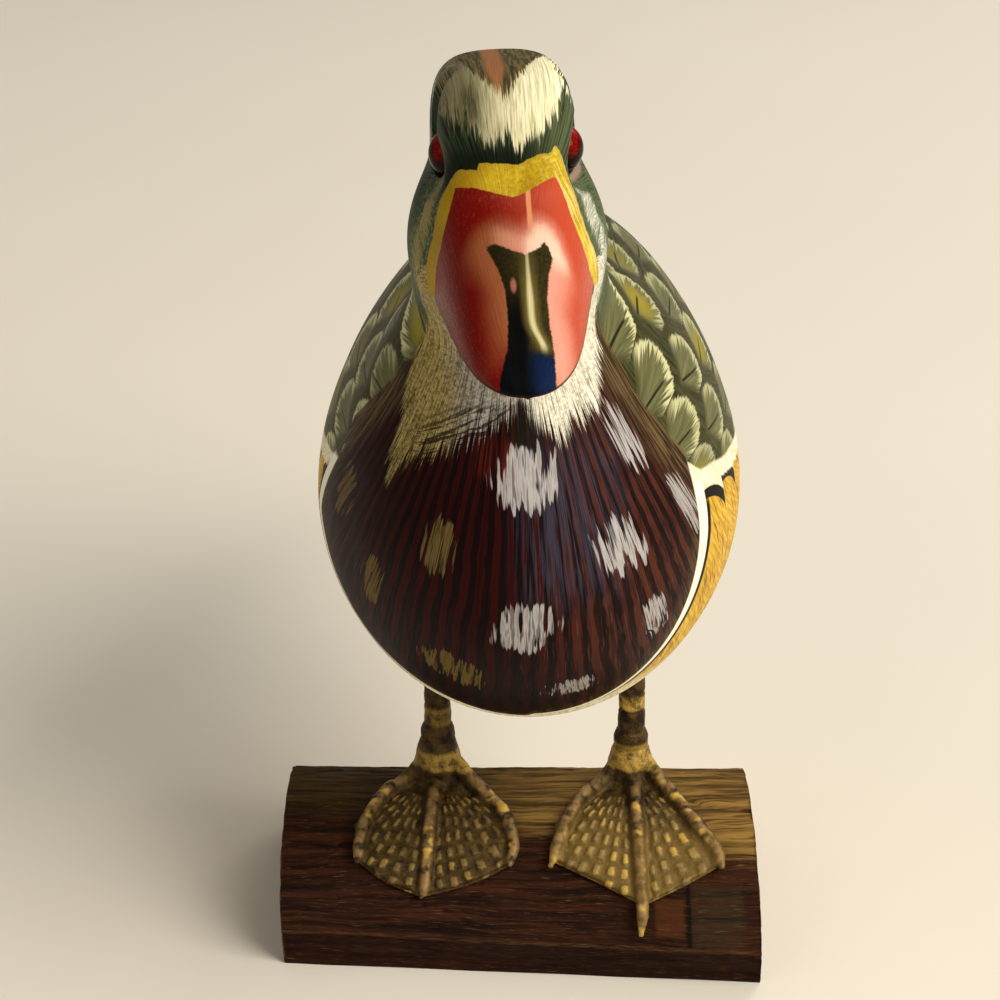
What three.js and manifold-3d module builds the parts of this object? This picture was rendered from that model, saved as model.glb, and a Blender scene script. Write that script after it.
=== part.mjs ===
// A carved and painted wood duck that stands on two cast legs on a half-round log.
// Millimetres, +Z up. The duck faces -Y, its own left side is +X, and the origin is on the
// log's flat underside, below the middle of the log.

import * as THREE from "three";
import { mergeVertices } from "three/addons/utils/BufferGeometryUtils.js";
import Module from "manifold-3d";

// Driving dimensions

const GAP = 0.3; // left between pieces that touch
const SLIVER = 0.02; // faces narrower than this are merged away after a cut or a join

// The body as cross sections from breast to tail tip.
const BODY_SECTIONS = [
  // y, half width, top height, bottom height
  [-61.0, 0.0, 110.0, 106.0],
  [-59.5, 8.5, 121.0, 97.0],
  [-56.0, 16.5, 131.0, 88.5],
  [-48.0, 26.2, 143.0, 77.0],
  [-38.0, 33.2, 150.5, 68.3],
  [-25.0, 39.0, 155.5, 61.0],
  [-10.0, 42.4, 156.4, 57.0],
  [5.0, 43.2, 155.6, 56.0],
  [22.0, 42.0, 153.4, 57.6],
  [45.0, 37.6, 148.2, 64.0],
  [70.0, 31.0, 139.4, 77.0],
  [92.0, 24.5, 129.5, 93.0],
  [112.0, 21.0, 121.0, 105.5],
  [126.0, 20.5, 116.2, 109.4],
  [136.0, 17.5, 113.6, 109.9],
];
const BODY_WIDEST_PART = 0.47; // share of a section's height at which it is widest
const BODY_ROUNDNESS = { above: 1.74, below: 2.02 }; // 2 is an ellipse

// The middle line that every ring of the duck's surface goes around, tail tip to bill tip.
const SPINE = [
  // y, z
  [135, 111.8],
  [112, 112.4],
  [88, 110.5],
  [60, 106.5],
  [32, 104.5],
  [8, 105.5],
  [-8, 109],
  [-20, 116],
  [-29, 126],
  [-34.5, 139],
  [-36, 155.2],
  [-38, 163.5],
  [-42.5, 169.2],
  [-49, 171],
  [-57, 168.5],
  [-68, 163],
  [-79, 158.4],
  [-88, 155.4],
];
const NAPE = [0, 170.2]; // y, z: rings of the back and neck lean around this point
const THROAT = [-54.5, 147.5]; // y, z: rings of the head lean around this point
const SHOULDER_STATION = 3.5; // where the rings start to lean towards the nape
const SHOULDER_STATIONS = 3.5; // how many stations they take for it
const NECK_STATION = 10; // where they stop, on the line from nape to throat
const NECK_STATIONS = 1;
const BILL_STATION = 12.5; // where the bill's own rings start
const BILL_STATIONS = 3;
const BILL_RING_LEAN = 16; // degrees

const CRANIUM = { at: [0, -33, 183.5], radii: [12.8, 23.5, 15.8], squareness: 3.6, tilt: -8 };
const CHEEKS = { at: [0, -37, 167.5], radii: [17.2, 19, 14.5], squareness: 2.3, tilt: 10 };
const CREST = { at: [0, -16.5, 179], radii: [9.4, 15, 11.5], squareness: 2.0, tilt: -42 };
const NECK = { foot: [-22, 128], head: [-35, 164], footRadius: 24, headRadius: 14.6, narrower: 1.04 };
const BILL = {
  base: -46,
  tip: -86.5,
  halfWidth: 15.2,
  narrowing: 0.46,
  mouthHeight: 164,
  mouthDrop: 7.5,
  ridgeHeight: 25.5,
  ridgeFall: 1.05, // 1 is a straight ridge, and more lets it sag
  chinDepth: 7.5,
  tipThickness: { above: 2.2, below: 2 },
  tipRoundness: { sides: 7, above: 4, below: 5 }, // 2 is an ellipse, and more is blunter
  roundness: { base: 2.9, tip: 2.1, below: 2.2 },
};
const BLEND = { neckToBody: 16, cheeks: 6, crest: 8, headToNeck: 10, bill: 3 };

// The head looks a little to the duck's left, and leans and stands a little to its right.
const HEAD_TURN = 4.6; // degrees about an upright axis
const HEAD_LEAN = 1.8; // degrees about the body's axis
const HEAD_SHIFT = -3.9;
const TURN_AXIS = [-35, 165]; // y, z
const TURN_STATIONS = [7, 11]; // the neck twists between these stations

// The folded wings stand proud of the rump, more towards their tips.
const WING_EDGE = [
  // y, degrees down from the back
  [-15, 76],
  [20, 82],
  [50, 77],
  [75, 60],
  [95, 37],
  [110, 20],
  [119, 3],
];
const WING_RELIEF = { depth: 1.7, starts: 8, full: 70, edge: 1.4 };

const DUCK_SHIFT = 1.5; // the duck's middle plane beside the log's

const EYE = { radius: 4.5, side: 9.3, y: -41.5, z: 185 };

const LOG = {
  halfLength: 50.7,
  widestHeight: 8,
  halfDepthRight: 29.2,
  halfDepthLeft: 30.8,
  riseRight: 16.3,
  riseLeft: 20.6,
  turn: -2.8, // degrees: the log isn't quite square to the duck
  endSkew: 0.07, // how far both sawn ends run towards -X for each millimetre backwards
  endLean: 0.035, // and for each millimetre upwards
  underHalfDepth: 28.2,
  bark: 0.35,
};
// Ridges of the bark: how many radians of wave for a radian around and a millimetre along.
const BARK_WAVES = [
  { around: 9, along: 0.05, share: 1 },
  { around: 17, along: -0.11, share: 0.6 },
];
const LOG_GIRTH_RADIUS = 26; // turns a length over the log's top into an angle

const LEG = { radius: 2.9, socketDepth: 4.5, ankleHeight: 39, waist: 0.2, sunk: 4 };
// The heel and the cuff over it.
const ANKLE_PROFILE = [
  // radius, height over the ankle
  [5.4, -8.5],
  [4.6, -4.5],
  [3.7, -1.5],
  [3.7, 0.5],
  [3.0, 2.4],
];
const TOE = {
  rootRadius: 1.9,
  endRadius: 1.25,
  tipRadius: 0.45,
  clawStarts: 0.84, // share of the toe's length
  clawTaper: 0.68,
  knuckle: 0.55,
  knuckleLength: 0.05, // share of the toe's length
  lift: 1.1,
  ankleLift: 7.6,
  ankleSlope: 1.9,
  ankleShare: 0.34, // share of the toe's length that comes down from the ankle
};
const WEB = { thickness: 1.5, starts: 0.03, sunk: 1 };
// Each toe goes from the ankle through its knuckles to its claw. A point is x and the
// length over the log's top, forwards from its crest.
const FEET = {
  leg_left: {
    ankle: [23.6, -5.5],
    toes: [
      [[14.3, 1.8], [10.1, 10.3], [7.7, 20]],
      [[24.6, 0], [25.7, 10.7], [26.7, 21.5], [27.3, 28.5], [27.2, 35.5]],
      [[32.5, 1.8], [38.5, 10.1], [42.3, 15], [43.7, 19.5]],
    ],
    webReach: 0.93,
    middleReach: 0.78,
    webHollow: 0.01,
  },
  leg_right: {
    ankle: [-18.4, -5.5],
    toes: [
      [[-28.5, 0.2], [-32.9, 10.8], [-33.3, 19.8]],
      [[-18.7, 0.2], [-18.6, 11], [-18.6, 24.7], [-19.3, 28]],
      [[-7.7, 1.8], [-2.9, 7.2], [-0.5, 13.9], [-0.8, 20]],
    ],
    webReach: 0.95,
    middleReach: 0.93,
    webHollow: -0.06,
  },
};
const HIND_TOE = { length: 8, rootRadius: 1.5, tipRadius: 0.5, behind: 2.5, rise: 2.2, sunk: 0.5 };

const RINGS = 82;
const RING_SIDES = 30;
const RING_CROWDING = 0.3; // rings lie closer together at both tips
const SEARCH_STEP = 1.5; // a ray looks for the surface in steps this long
const HALVINGS = 14; // then halves the last step this often

const PAINT = {
  duck: { color: 0x4a2a22, roughness: 0.42, metalness: 0 },
  eye: { color: 0x7a1410, roughness: 0.06, metalness: 0 },
  leg: { color: 0x4b3a22, roughness: 0.5, metalness: 0.15 },
  log: { color: 0x3a2417, roughness: 0.75, metalness: 0 },
};

// Small helpers

const radians = THREE.MathUtils.degToRad;
const mix = THREE.MathUtils.lerp;
const clamp = THREE.MathUtils.clamp;

function smoothStep(from, to, value) {
  const t = clamp((value - from) / (to - from), 0, 1);
  return t * t * (3 - 2 * t);
}

function smoothMin(a, b, blend) {
  const overlap = Math.max(blend - Math.abs(a - b), 0) / blend;
  return Math.min(a, b) - overlap * overlap * blend * 0.25;
}

// A curve through the rows of a table that doesn't swing past them. Column 0 is the input.
function curveThrough(rows, column) {
  const count = rows.length;
  const slopes = [];
  const tangents = [];
  for (let i = 0; i < count - 1; i += 1) {
    slopes.push((rows[i + 1][column] - rows[i][column]) / (rows[i + 1][0] - rows[i][0]));
  }
  for (let i = 0; i < count; i += 1) {
    const before = slopes[Math.max(i - 1, 0)];
    const after = slopes[Math.min(i, count - 2)];
    tangents.push(before * after <= 0 ? 0 : (2 * before * after) / (before + after));
  }
  return (input) => {
    const x = clamp(input, rows[0][0], rows[count - 1][0]);
    let i = 0;
    while (i < count - 2 && x > rows[i + 1][0]) {
      i += 1;
    }
    const step = rows[i + 1][0] - rows[i][0];
    const t = (x - rows[i][0]) / step;
    const rise = rows[i + 1][column] - rows[i][column];
    const ease = t * t * (3 - 2 * t);
    const pull = t * (1 - t) * step * ((1 - t) * tangents[i] - t * tangents[i + 1]);
    return rows[i][column] + rise * ease + pull;
  };
}

// The columns of the body's table, and the wing's edge, as curves.
const bodyHalfWidth = curveThrough(BODY_SECTIONS, 1);
const bodyTop = curveThrough(BODY_SECTIONS, 2);
const bodyBottom = curveThrough(BODY_SECTIONS, 3);
const wingEdgeAngle = curveThrough(WING_EDGE, 1);

// A closed mesh from rings of points, with a fan on each end.
function meshFromRings(rings) {
  const sides = rings[0].length;
  const points = rings.flat();
  const firstMiddle = points.length;
  const ends = [rings[0], rings[rings.length - 1]];
  for (const ring of ends) {
    const middle = new THREE.Vector3();
    ring.forEach((p) => middle.add(p));
    points.push(middle.divideScalar(sides));
  }
  const faces = [];
  for (let r = 0; r < rings.length - 1; r += 1) {
    for (let s = 0; s < sides; s += 1) {
      const next = (s + 1) % sides;
      const a = r * sides + s;
      const b = r * sides + next;
      const c = a + sides;
      const d = b + sides;
      faces.push(a, b, d, a, d, c);
    }
  }
  const last = (rings.length - 1) * sides;
  for (let s = 0; s < sides; s += 1) {
    const next = (s + 1) % sides;
    faces.push(firstMiddle, next, s);
    faces.push(firstMiddle + 1, last + s, last + next);
  }
  const geometry = new THREE.BufferGeometry().setFromPoints(points);
  geometry.setIndex(faces);
  return faceOutwards(geometry);
}

function signedVolume(geometry) {
  const position = geometry.getAttribute("position");
  const index = geometry.getIndex();
  const [a, b, c] = [new THREE.Vector3(), new THREE.Vector3(), new THREE.Vector3()];
  let volume = 0;
  for (let i = 0; i < index.count; i += 3) {
    a.fromBufferAttribute(position, index.getX(i));
    b.fromBufferAttribute(position, index.getX(i + 1));
    c.fromBufferAttribute(position, index.getX(i + 2));
    volume += a.dot(b.cross(c)) / 6;
  }
  return volume;
}

function faceOutwards(geometry) {
  if (signedVolume(geometry) < 0) {
    const index = geometry.getIndex();
    for (let i = 0; i < index.count; i += 3) {
      const first = index.getX(i);
      index.setX(i, index.getX(i + 1));
      index.setX(i + 1, first);
    }
  }
  return geometry;
}

// Joining and cutting

const solidKernel = await Module();
solidKernel.setup();

function toSolid(geometry) {
  const bare = geometry.clone();
  bare.deleteAttribute("normal");
  bare.deleteAttribute("uv");
  const merged = mergeVertices(bare, 1e-4);
  return new solidKernel.Manifold(
    new solidKernel.Mesh({
      numProp: 3,
      vertProperties: new Float32Array(merged.getAttribute("position").array),
      triVerts: new Uint32Array(merged.getIndex().array),
    }),
  );
}

function toGeometry(solid) {
  const mesh = solid.simplify(SLIVER).getMesh();
  const geometry = new THREE.BufferGeometry();
  geometry.setAttribute("position", new THREE.BufferAttribute(mesh.vertProperties, 3));
  geometry.setIndex(new THREE.BufferAttribute(mesh.triVerts, 1));
  geometry.computeVertexNormals();
  return geometry;
}

function cut(geometry, cutters) {
  const solid = cutters.reduce((left, cutter) => left.subtract(toSolid(cutter)), toSolid(geometry));
  return toGeometry(solid);
}

function join(geometries) {
  const solids = geometries.map(toSolid);
  return toGeometry(solids.reduce((all, next) => all.add(next)));
}

// The duck's form: every function gives roughly the distance from its surface

function roundForm(p, { at, radii, squareness, tilt }) {
  const turn = radians(tilt);
  const x = p.x - at[0];
  const dy = p.y - at[1];
  const dz = p.z - at[2];
  const y = dy * Math.cos(turn) + dz * Math.sin(turn);
  const z = dz * Math.cos(turn) - dy * Math.sin(turn);
  const share =
    (Math.abs(x / radii[0]) ** squareness +
      Math.abs(y / radii[1]) ** squareness +
      Math.abs(z / radii[2]) ** squareness) **
    (1 / squareness);
  return Math.hypot(x, y, z) * (1 - 1 / Math.max(share, 1e-6));
}

function sectionForm(p, section) {
  const height = p.z - section.middle;
  const reach = height > 0 ? section.top - section.middle : section.middle - section.bottom;
  const roundness = height > 0 ? section.roundAbove : section.roundBelow;
  const across = Math.abs(p.x) / Math.max(section.halfWidth, 0.3);
  const up = Math.abs(height) / Math.max(reach, 0.3);
  const share = (across ** roundness + up ** roundness) ** (1 / roundness);
  return Math.hypot(p.x, height) * (1 - 1 / Math.max(share, 1e-6));
}

// Past its first or last section a form is as far away as the section and the overshoot say.
function withEnds(distance, y, from, to) {
  const past = Math.max(from - y, y - to);
  return past > 0 ? Math.hypot(Math.max(distance, 0), past) : distance;
}

function bodyForm(p) {
  const first = BODY_SECTIONS[0][0];
  const last = BODY_SECTIONS[BODY_SECTIONS.length - 1][0];
  const bottom = bodyBottom(p.y);
  const top = bodyTop(p.y);
  const distance = sectionForm(p, {
    halfWidth: bodyHalfWidth(p.y),
    top,
    bottom,
    middle: mix(bottom, top, BODY_WIDEST_PART),
    roundAbove: BODY_ROUNDNESS.above,
    roundBelow: BODY_ROUNDNESS.below,
  });
  return withEnds(distance, p.y, first, last);
}

function billForm(p) {
  const s = clamp((p.y - BILL.base) / (BILL.tip - BILL.base), 0, 1);
  const mouth = BILL.mouthHeight - BILL.mouthDrop * s;
  const { tipThickness, tipRoundness, roundness } = BILL;
  const ridge = BILL.ridgeHeight * (1 - s) ** BILL.ridgeFall;
  const tipCap = (power) => Math.sqrt(1 - s ** power);
  const distance = sectionForm(p, {
    halfWidth: BILL.halfWidth * (1 - BILL.narrowing * s) * tipCap(tipRoundness.sides),
    top: mouth + ridge + tipThickness.above * tipCap(tipRoundness.above),
    bottom: mouth - BILL.chinDepth * (1 - s) - tipThickness.below * tipCap(tipRoundness.below),
    middle: mouth,
    roundAbove: mix(roundness.base, roundness.tip, s),
    roundBelow: roundness.below,
  });
  return withEnds(distance, p.y, BILL.tip, BILL.base);
}

function neckForm(p) {
  const [footY, footZ] = NECK.foot;
  const along = [NECK.head[0] - footY, NECK.head[1] - footZ];
  const length = Math.hypot(...along);
  const t = clamp(((p.y - footY) * along[0] + (p.z - footZ) * along[1]) / length ** 2, 0, 1);
  const dy = p.y - footY - along[0] * t;
  const dz = p.z - footZ - along[1] * t;
  return Math.hypot(p.x * NECK.narrower, dy, dz) - mix(NECK.footRadius, NECK.headRadius, t);
}

function duckForm(p) {
  const skull = smoothMin(roundForm(p, CRANIUM), roundForm(p, CHEEKS), BLEND.cheeks);
  const head = smoothMin(skull, roundForm(p, CREST), BLEND.crest);
  const trunk = smoothMin(bodyForm(p), neckForm(p), BLEND.neckToBody);
  return smoothMin(smoothMin(trunk, head, BLEND.headToNeck), billForm(p), BLEND.bill);
}

// How far the folded wings stand out of the body at a point of its surface.
function wingRelief(p) {
  if (p.y < WING_RELIEF.starts) {
    return 0;
  }
  const bottom = bodyBottom(p.y);
  const top = bodyTop(p.y);
  const middle = mix(bottom, top, BODY_WIDEST_PART);
  const radius = (bodyHalfWidth(p.y) + top - middle) / 2;
  const across = Math.abs(p.x) / bodyHalfWidth(p.y);
  const down = THREE.MathUtils.radToDeg(Math.atan2(across, (p.z - middle) / (top - middle)));
  const inside = radians(wingEdgeAngle(p.y) - down) * radius;
  const tip = WING_EDGE[WING_EDGE.length - 1][0] - p.y;
  const shape = smoothStep(-WING_RELIEF.edge, WING_RELIEF.edge, Math.min(inside, tip));
  return WING_RELIEF.depth * shape * smoothStep(WING_RELIEF.starts, WING_RELIEF.full, p.y);
}

// The duck's surface: rings around the spine, each point where a ray leaves the form

function spinePoint(station) {
  const last = SPINE.length - 1;
  const i = clamp(Math.floor(station), 0, last - 1);
  const t = station - i;
  const [a, b, c, d] = [Math.max(i - 1, 0), i, i + 1, Math.min(i + 2, last)].map((k) => SPINE[k]);
  const along = (k) =>
    0.5 *
    (2 * b[k] +
      (c[k] - a[k]) * t +
      (2 * a[k] - 5 * b[k] + 4 * c[k] - d[k]) * t ** 2 +
      (3 * b[k] - a[k] - 3 * c[k] + d[k]) * t ** 3);
  return [along(0), along(1)];
}

// The direction in which a ring's top lies, as y and z.
function ringUp(station, [y, z]) {
  const lean = radians(BILL_RING_LEAN);
  const towards = (from, to) => {
    const length = Math.hypot(to[0] - from[0], to[1] - from[1]);
    return [(to[0] - from[0]) / length, (to[1] - from[1]) / length];
  };
  const blend = (one, other, share) => {
    const both = [mix(one[0], other[0], share), mix(one[1], other[1], share)];
    return towards([0, 0], both);
  };
  const back = smoothStep(SHOULDER_STATION, SHOULDER_STATION + SHOULDER_STATIONS, station);
  const neckHalf = NECK_STATIONS / 2;
  const head = smoothStep(NECK_STATION - neckHalf, NECK_STATION + neckHalf, station);
  const bill = smoothStep(BILL_STATION, BILL_STATION + BILL_STATIONS, station);
  let up = blend([0, 1], towards([y, z], NAPE), back);
  up = blend(up, towards(THROAT, [y, z]), head);
  return blend(up, [-Math.sin(lean), Math.cos(lean)], bill);
}

function surfacePoint(origin, direction) {
  const p = new THREE.Vector3();
  let inside = 0;
  while (duckForm(p.copy(origin).addScaledVector(direction, inside + SEARCH_STEP)) < 0) {
    inside += SEARCH_STEP;
  }
  let outside = inside + SEARCH_STEP;
  for (let i = 0; i < HALVINGS; i += 1) {
    const middle = (inside + outside) / 2;
    if (duckForm(p.copy(origin).addScaledVector(direction, middle)) < 0) {
      inside = middle;
    } else {
      outside = middle;
    }
  }
  p.copy(origin).addScaledVector(direction, inside);
  return p.addScaledVector(direction, wingRelief(p));
}

// Turns and leans the head, and the neck by degrees, and sets the duck over the log.
function pose(p, share) {
  const [axisY, axisZ] = TURN_AXIS;
  p.sub(new THREE.Vector3(0, axisY, axisZ));
  p.applyAxisAngle(new THREE.Vector3(0, 0, 1), radians(HEAD_TURN) * share);
  p.applyAxisAngle(new THREE.Vector3(0, -1, 0), radians(HEAD_LEAN) * share);
  return p.add(new THREE.Vector3(DUCK_SHIFT + HEAD_SHIFT * share, axisY, axisZ));
}

function duckRing(station) {
  const [y, z] = spinePoint(station);
  const [upY, upZ] = ringUp(station, [y, z]);
  const origin = new THREE.Vector3(0, y, z);
  const ring = [];
  for (let s = 0; s < RING_SIDES; s += 1) {
    const around = (2 * Math.PI * s) / RING_SIDES;
    const across = Math.sin(around);
    const up = Math.cos(around);
    const direction = new THREE.Vector3(across, up * upY, up * upZ);
    const point = surfacePoint(origin, direction);
    ring.push(pose(point, smoothStep(TURN_STATIONS[0], TURN_STATIONS[1], station)));
  }
  return ring;
}

function duckBlank() {
  const rings = [];
  for (let r = 0; r < RINGS; r += 1) {
    const share = r / (RINGS - 1);
    const eased = share - (RING_CROWDING * Math.sin(2 * Math.PI * share)) / (2 * Math.PI);
    rings.push(duckRing(eased * (SPINE.length - 1)));
  }
  return meshFromRings(rings);
}

function eyeCentre(side) {
  return pose(new THREE.Vector3(side * EYE.side, EYE.y, EYE.z), 1);
}

function eyeBall(side, radius) {
  const ball = new THREE.SphereGeometry(radius, 14, 9);
  ball.deleteAttribute("normal");
  ball.deleteAttribute("uv");
  ball.translate(...eyeCentre(side).toArray());
  return mergeVertices(ball, 1e-4);
}

// The belly's height over an ankle, where the leg goes in.
function bellyHeight(ankle) {
  const p = standPoint(ankle[0], -ankle[1]);
  p.x -= DUCK_SHIFT;
  let low = LEG.ankleHeight;
  let high = SPINE[0][1];
  for (let i = 0; i < HALVINGS; i += 1) {
    p.z = (low + high) / 2;
    if (duckForm(p) > 0) {
      low = p.z;
    } else {
      high = p.z;
    }
  }
  return low;
}

// A point of the log's own frame, which is turned under the duck.
function standPoint(x, y) {
  return new THREE.Vector3(x, y, 0).applyAxisAngle(new THREE.Vector3(0, 0, 1), radians(LOG.turn));
}

function legSocket({ ankle }) {
  const { x, y } = standPoint(ankle[0], -ankle[1]);
  const top = bellyHeight(ankle) + LEG.socketDepth;
  const length = 24;
  const socket = new THREE.CylinderGeometry(LEG.radius + GAP, LEG.radius + GAP, length, 16);
  socket.rotateX(Math.PI / 2);
  socket.translate(x, y, top - length / 2);
  return socket;
}

function duckGeometry() {
  const sockets = Object.values(FEET).map(legSocket);
  const eyeHoles = [-1, 1].map((side) => eyeBall(side, EYE.radius + GAP));
  return cut(duckBlank(), [...sockets, ...eyeHoles]);
}

// The log

function logSize(x) {
  const share = (x / LOG.halfLength + 1) / 2;
  return {
    halfDepth: mix(LOG.halfDepthRight, LOG.halfDepthLeft, share),
    rise: mix(LOG.riseRight, LOG.riseLeft, share),
  };
}

// A point over the log at a girth length forwards of its crest, and the way out of the log.
function onLog(x, girth, lift) {
  const { halfDepth, rise } = logSize(x);
  const angle = girth / LOG_GIRTH_RADIUS;
  const out = new THREE.Vector3(0, -Math.sin(angle) / halfDepth, Math.cos(angle) / rise).normalize();
  const point = new THREE.Vector3(
    x,
    -halfDepth * Math.sin(angle),
    LOG.widestHeight + rise * Math.cos(angle),
  );
  return { point: point.addScaledVector(out, lift), out };
}

// The bark's height at a place, always below the log's nominal surface.
function barkHeight(x, angle) {
  const wave = ({ around, along, share }) => share * (Math.sin(angle * around + x * along) - 1);
  return LOG.bark * BARK_WAVES.reduce((sum, one) => sum + wave(one), 0);
}

// One section of the log, from the underside's front edge over the top to its back edge.
function logSection(x, grown) {
  const arcSteps = 34;
  const { halfDepth, rise } = logSize(x);
  const ring = [];
  for (let i = 0; i <= arcSteps; i += 1) {
    const angle = mix(Math.PI / 2, -Math.PI / 2, i / arcSteps);
    const radial = 1 + (barkHeight(x, angle) + grown) / halfDepth;
    const y = -halfDepth * Math.sin(angle) * radial;
    const z = LOG.widestHeight + rise * Math.cos(angle) * (1 + grown / rise);
    ring.push(new THREE.Vector3(x, y, z));
  }
  const under = LOG.underHalfDepth + grown;
  for (const y of [under, 0, -under]) {
    ring.push(new THREE.Vector3(x, y, 0));
  }
  ring.forEach((p) => p.setX(p.x - LOG.endSkew * p.y - LOG.endLean * p.z));
  return ring;
}

function logGeometry(grown = 0) {
  const rings = [];
  const stations = 11;
  const reach = LOG.halfLength + grown;
  for (let i = 0; i < stations; i += 1) {
    rings.push(logSection(mix(-reach, reach, i / (stations - 1)), grown));
  }
  return meshFromRings(rings);
}

// The legs and webbed feet

// A tapering tube along points. radiusAt takes the share of the way from 0 to 1.
function taperedTube(points, outs, radiusAt, sides) {
  const rings = points.map((point, i) => {
    const before = points[Math.max(i - 1, 0)];
    const after = points[Math.min(i + 1, points.length - 1)];
    const along = after.clone().sub(before).normalize();
    const across = along.clone().cross(outs[i]).normalize();
    const out = across.clone().cross(along);
    const radius = radiusAt(i / (points.length - 1));
    const ring = [];
    for (let s = 0; s < sides; s += 1) {
      const around = (2 * Math.PI * s) / sides;
      const spot = point.clone().addScaledVector(across, radius * Math.cos(around));
      ring.push(spot.addScaledVector(out, radius * Math.sin(around)));
    }
    return ring;
  });
  return meshFromRings(rings);
}

function toePath(ankle, stops) {
  const flat = [ankle, ...stops].map(([x, girth]) => new THREE.Vector3(x, girth, 0));
  return new THREE.CatmullRomCurve3(flat, false, "centripetal");
}

// How far the foot still is over the wood at a share of a toe's length.
function ankleRise(share) {
  return TOE.ankleLift * (1 - smoothStep(0, TOE.ankleShare, share)) ** TOE.ankleSlope;
}

// A toe's place over the log: high at the ankle, lying on the wood from the first knuckle.
function toeSpot(path, share) {
  const flat = path.getPoint(share);
  return onLog(flat.x, flat.y, TOE.lift + ankleRise(share));
}

function toeRadius(share, knuckles) {
  const claw = TOE.clawTaper * smoothStep(TOE.clawStarts, 1, share);
  const taper = mix(TOE.rootRadius, TOE.endRadius, share) * (1 - claw);
  const bump = (at) => Math.exp(-(((share - at) / TOE.knuckleLength) ** 2));
  const swelling = knuckles.reduce((sum, at) => sum + bump(at), 0);
  return Math.max(taper + TOE.knuckle * swelling, TOE.tipRadius);
}

function toeGeometry(ankle, stops) {
  const path = toePath(ankle, stops);
  const steps = 12;
  const spots = [];
  for (let i = 0; i <= steps; i += 1) {
    spots.push(toeSpot(path, i / steps));
  }
  const knuckles = stops.slice(0, 2).map((_, i) => (i + 1) / stops.length);
  return taperedTube(
    spots.map((spot) => spot.point),
    spots.map((spot) => spot.out),
    (share) => toeRadius(share, knuckles),
    7,
  );
}

// The web across the three toes: a plate that thickens under the ankle down to the log.
function webGeometry(paths, reaches, hollow) {
  const columnsPerWeb = 5;
  const columns = columnsPerWeb * (paths.length - 1);
  const rows = 8;
  const sheet = (underside) => {
    const grid = [];
    for (let c = 0; c <= columns; c += 1) {
      const toe = Math.min(Math.floor(c / columnsPerWeb), paths.length - 2);
      const u = c / columnsPerWeb - toe;
      const reach = mix(reaches[toe], reaches[toe + 1], u) - hollow * Math.sin(Math.PI * u);
      for (let r = 0; r <= rows; r += 1) {
        const share = mix(WEB.starts, reach, r / rows);
        const a = paths[toe].getPoint(share);
        const b = paths[toe + 1].getPoint(share);
        const lift = underside ? -WEB.sunk : WEB.thickness + ankleRise(share);
        grid.push(onLog(mix(a.x, b.x, u), mix(a.y, b.y, u), lift).point);
      }
    }
    return grid;
  };
  return plateBetween(sheet(false), sheet(true), columns, rows);
}

// Closes two like grids of points into one plate.
function plateBetween(over, under, columns, rows) {
  const offset = over.length;
  const at = (c, r) => c * (rows + 1) + r;
  const faces = [];
  const quad = (a, b, c, d) => faces.push(a, b, c, a, c, d);
  for (let c = 0; c < columns; c += 1) {
    for (let r = 0; r < rows; r += 1) {
      const [p, q, s, t] = [at(c, r), at(c + 1, r), at(c + 1, r + 1), at(c, r + 1)];
      quad(p, q, s, t);
      quad(offset + t, offset + s, offset + q, offset + p);
    }
  }
  for (let c = 0; c < columns; c += 1) {
    quad(at(c + 1, 0), at(c, 0), offset + at(c, 0), offset + at(c + 1, 0));
    quad(at(c, rows), at(c + 1, rows), offset + at(c + 1, rows), offset + at(c, rows));
  }
  for (let r = 0; r < rows; r += 1) {
    quad(at(0, r), at(0, r + 1), offset + at(0, r + 1), offset + at(0, r));
    quad(at(columns, r + 1), at(columns, r), offset + at(columns, r), offset + at(columns, r + 1));
  }
  const geometry = new THREE.BufferGeometry().setFromPoints([...over, ...under]);
  geometry.setIndex(faces);
  return faceOutwards(geometry);
}

// The upright shaft, with its cuff at the ankle and its flare down to the heel.
function shaftGeometry({ ankle }) {
  const top = bellyHeight(ankle) + LEG.socketDepth - GAP;
  const foot = LOG.widestHeight + logSize(ankle[0]).rise - LEG.sunk;
  const profile = [
    [0, foot],
    [ANKLE_PROFILE[0][0], foot],
    ...ANKLE_PROFILE.map(([radius, over]) => [radius, LEG.ankleHeight + over]),
    [LEG.radius - LEG.waist, (LEG.ankleHeight + top) / 2],
    [LEG.radius, top - LEG.socketDepth],
    [LEG.radius, top],
    [0, top],
  ].map(([radius, height]) => new THREE.Vector2(radius, height));
  const shaft = new THREE.LatheGeometry(profile, 12);
  shaft.rotateX(Math.PI / 2);
  shaft.translate(ankle[0], -ankle[1], 0);
  shaft.deleteAttribute("normal");
  shaft.deleteAttribute("uv");
  return faceOutwards(mergeVertices(shaft, 1e-4));
}

function hindToeGeometry({ ankle }) {
  const steps = 6;
  const points = [];
  const outs = [];
  for (let i = 0; i <= steps; i += 1) {
    const share = i / steps;
    const girth = ankle[1] - HIND_TOE.behind - HIND_TOE.length * share;
    const lift = HIND_TOE.rootRadius - HIND_TOE.sunk + HIND_TOE.rise * (1 - share) ** 2;
    const { point, out } = onLog(ankle[0], girth, lift);
    points.push(point);
    outs.push(out);
  }
  const radiusAt = (share) => mix(HIND_TOE.rootRadius, HIND_TOE.tipRadius, share ** 2);
  return taperedTube(points, outs, radiusAt, 8);
}

function legGeometry(foot) {
  const paths = foot.toes.map((stops) => toePath(foot.ankle, stops));
  const web = webGeometry(paths, [foot.webReach, foot.middleReach, foot.webReach], foot.webHollow);
  const toes = foot.toes.map((stops) => toeGeometry(foot.ankle, stops));
  const whole = join([shaftGeometry(foot), hindToeGeometry(foot), ...toes, web]);
  return cut(whole, [logGeometry(GAP)]);
}

// The pieces

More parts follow.
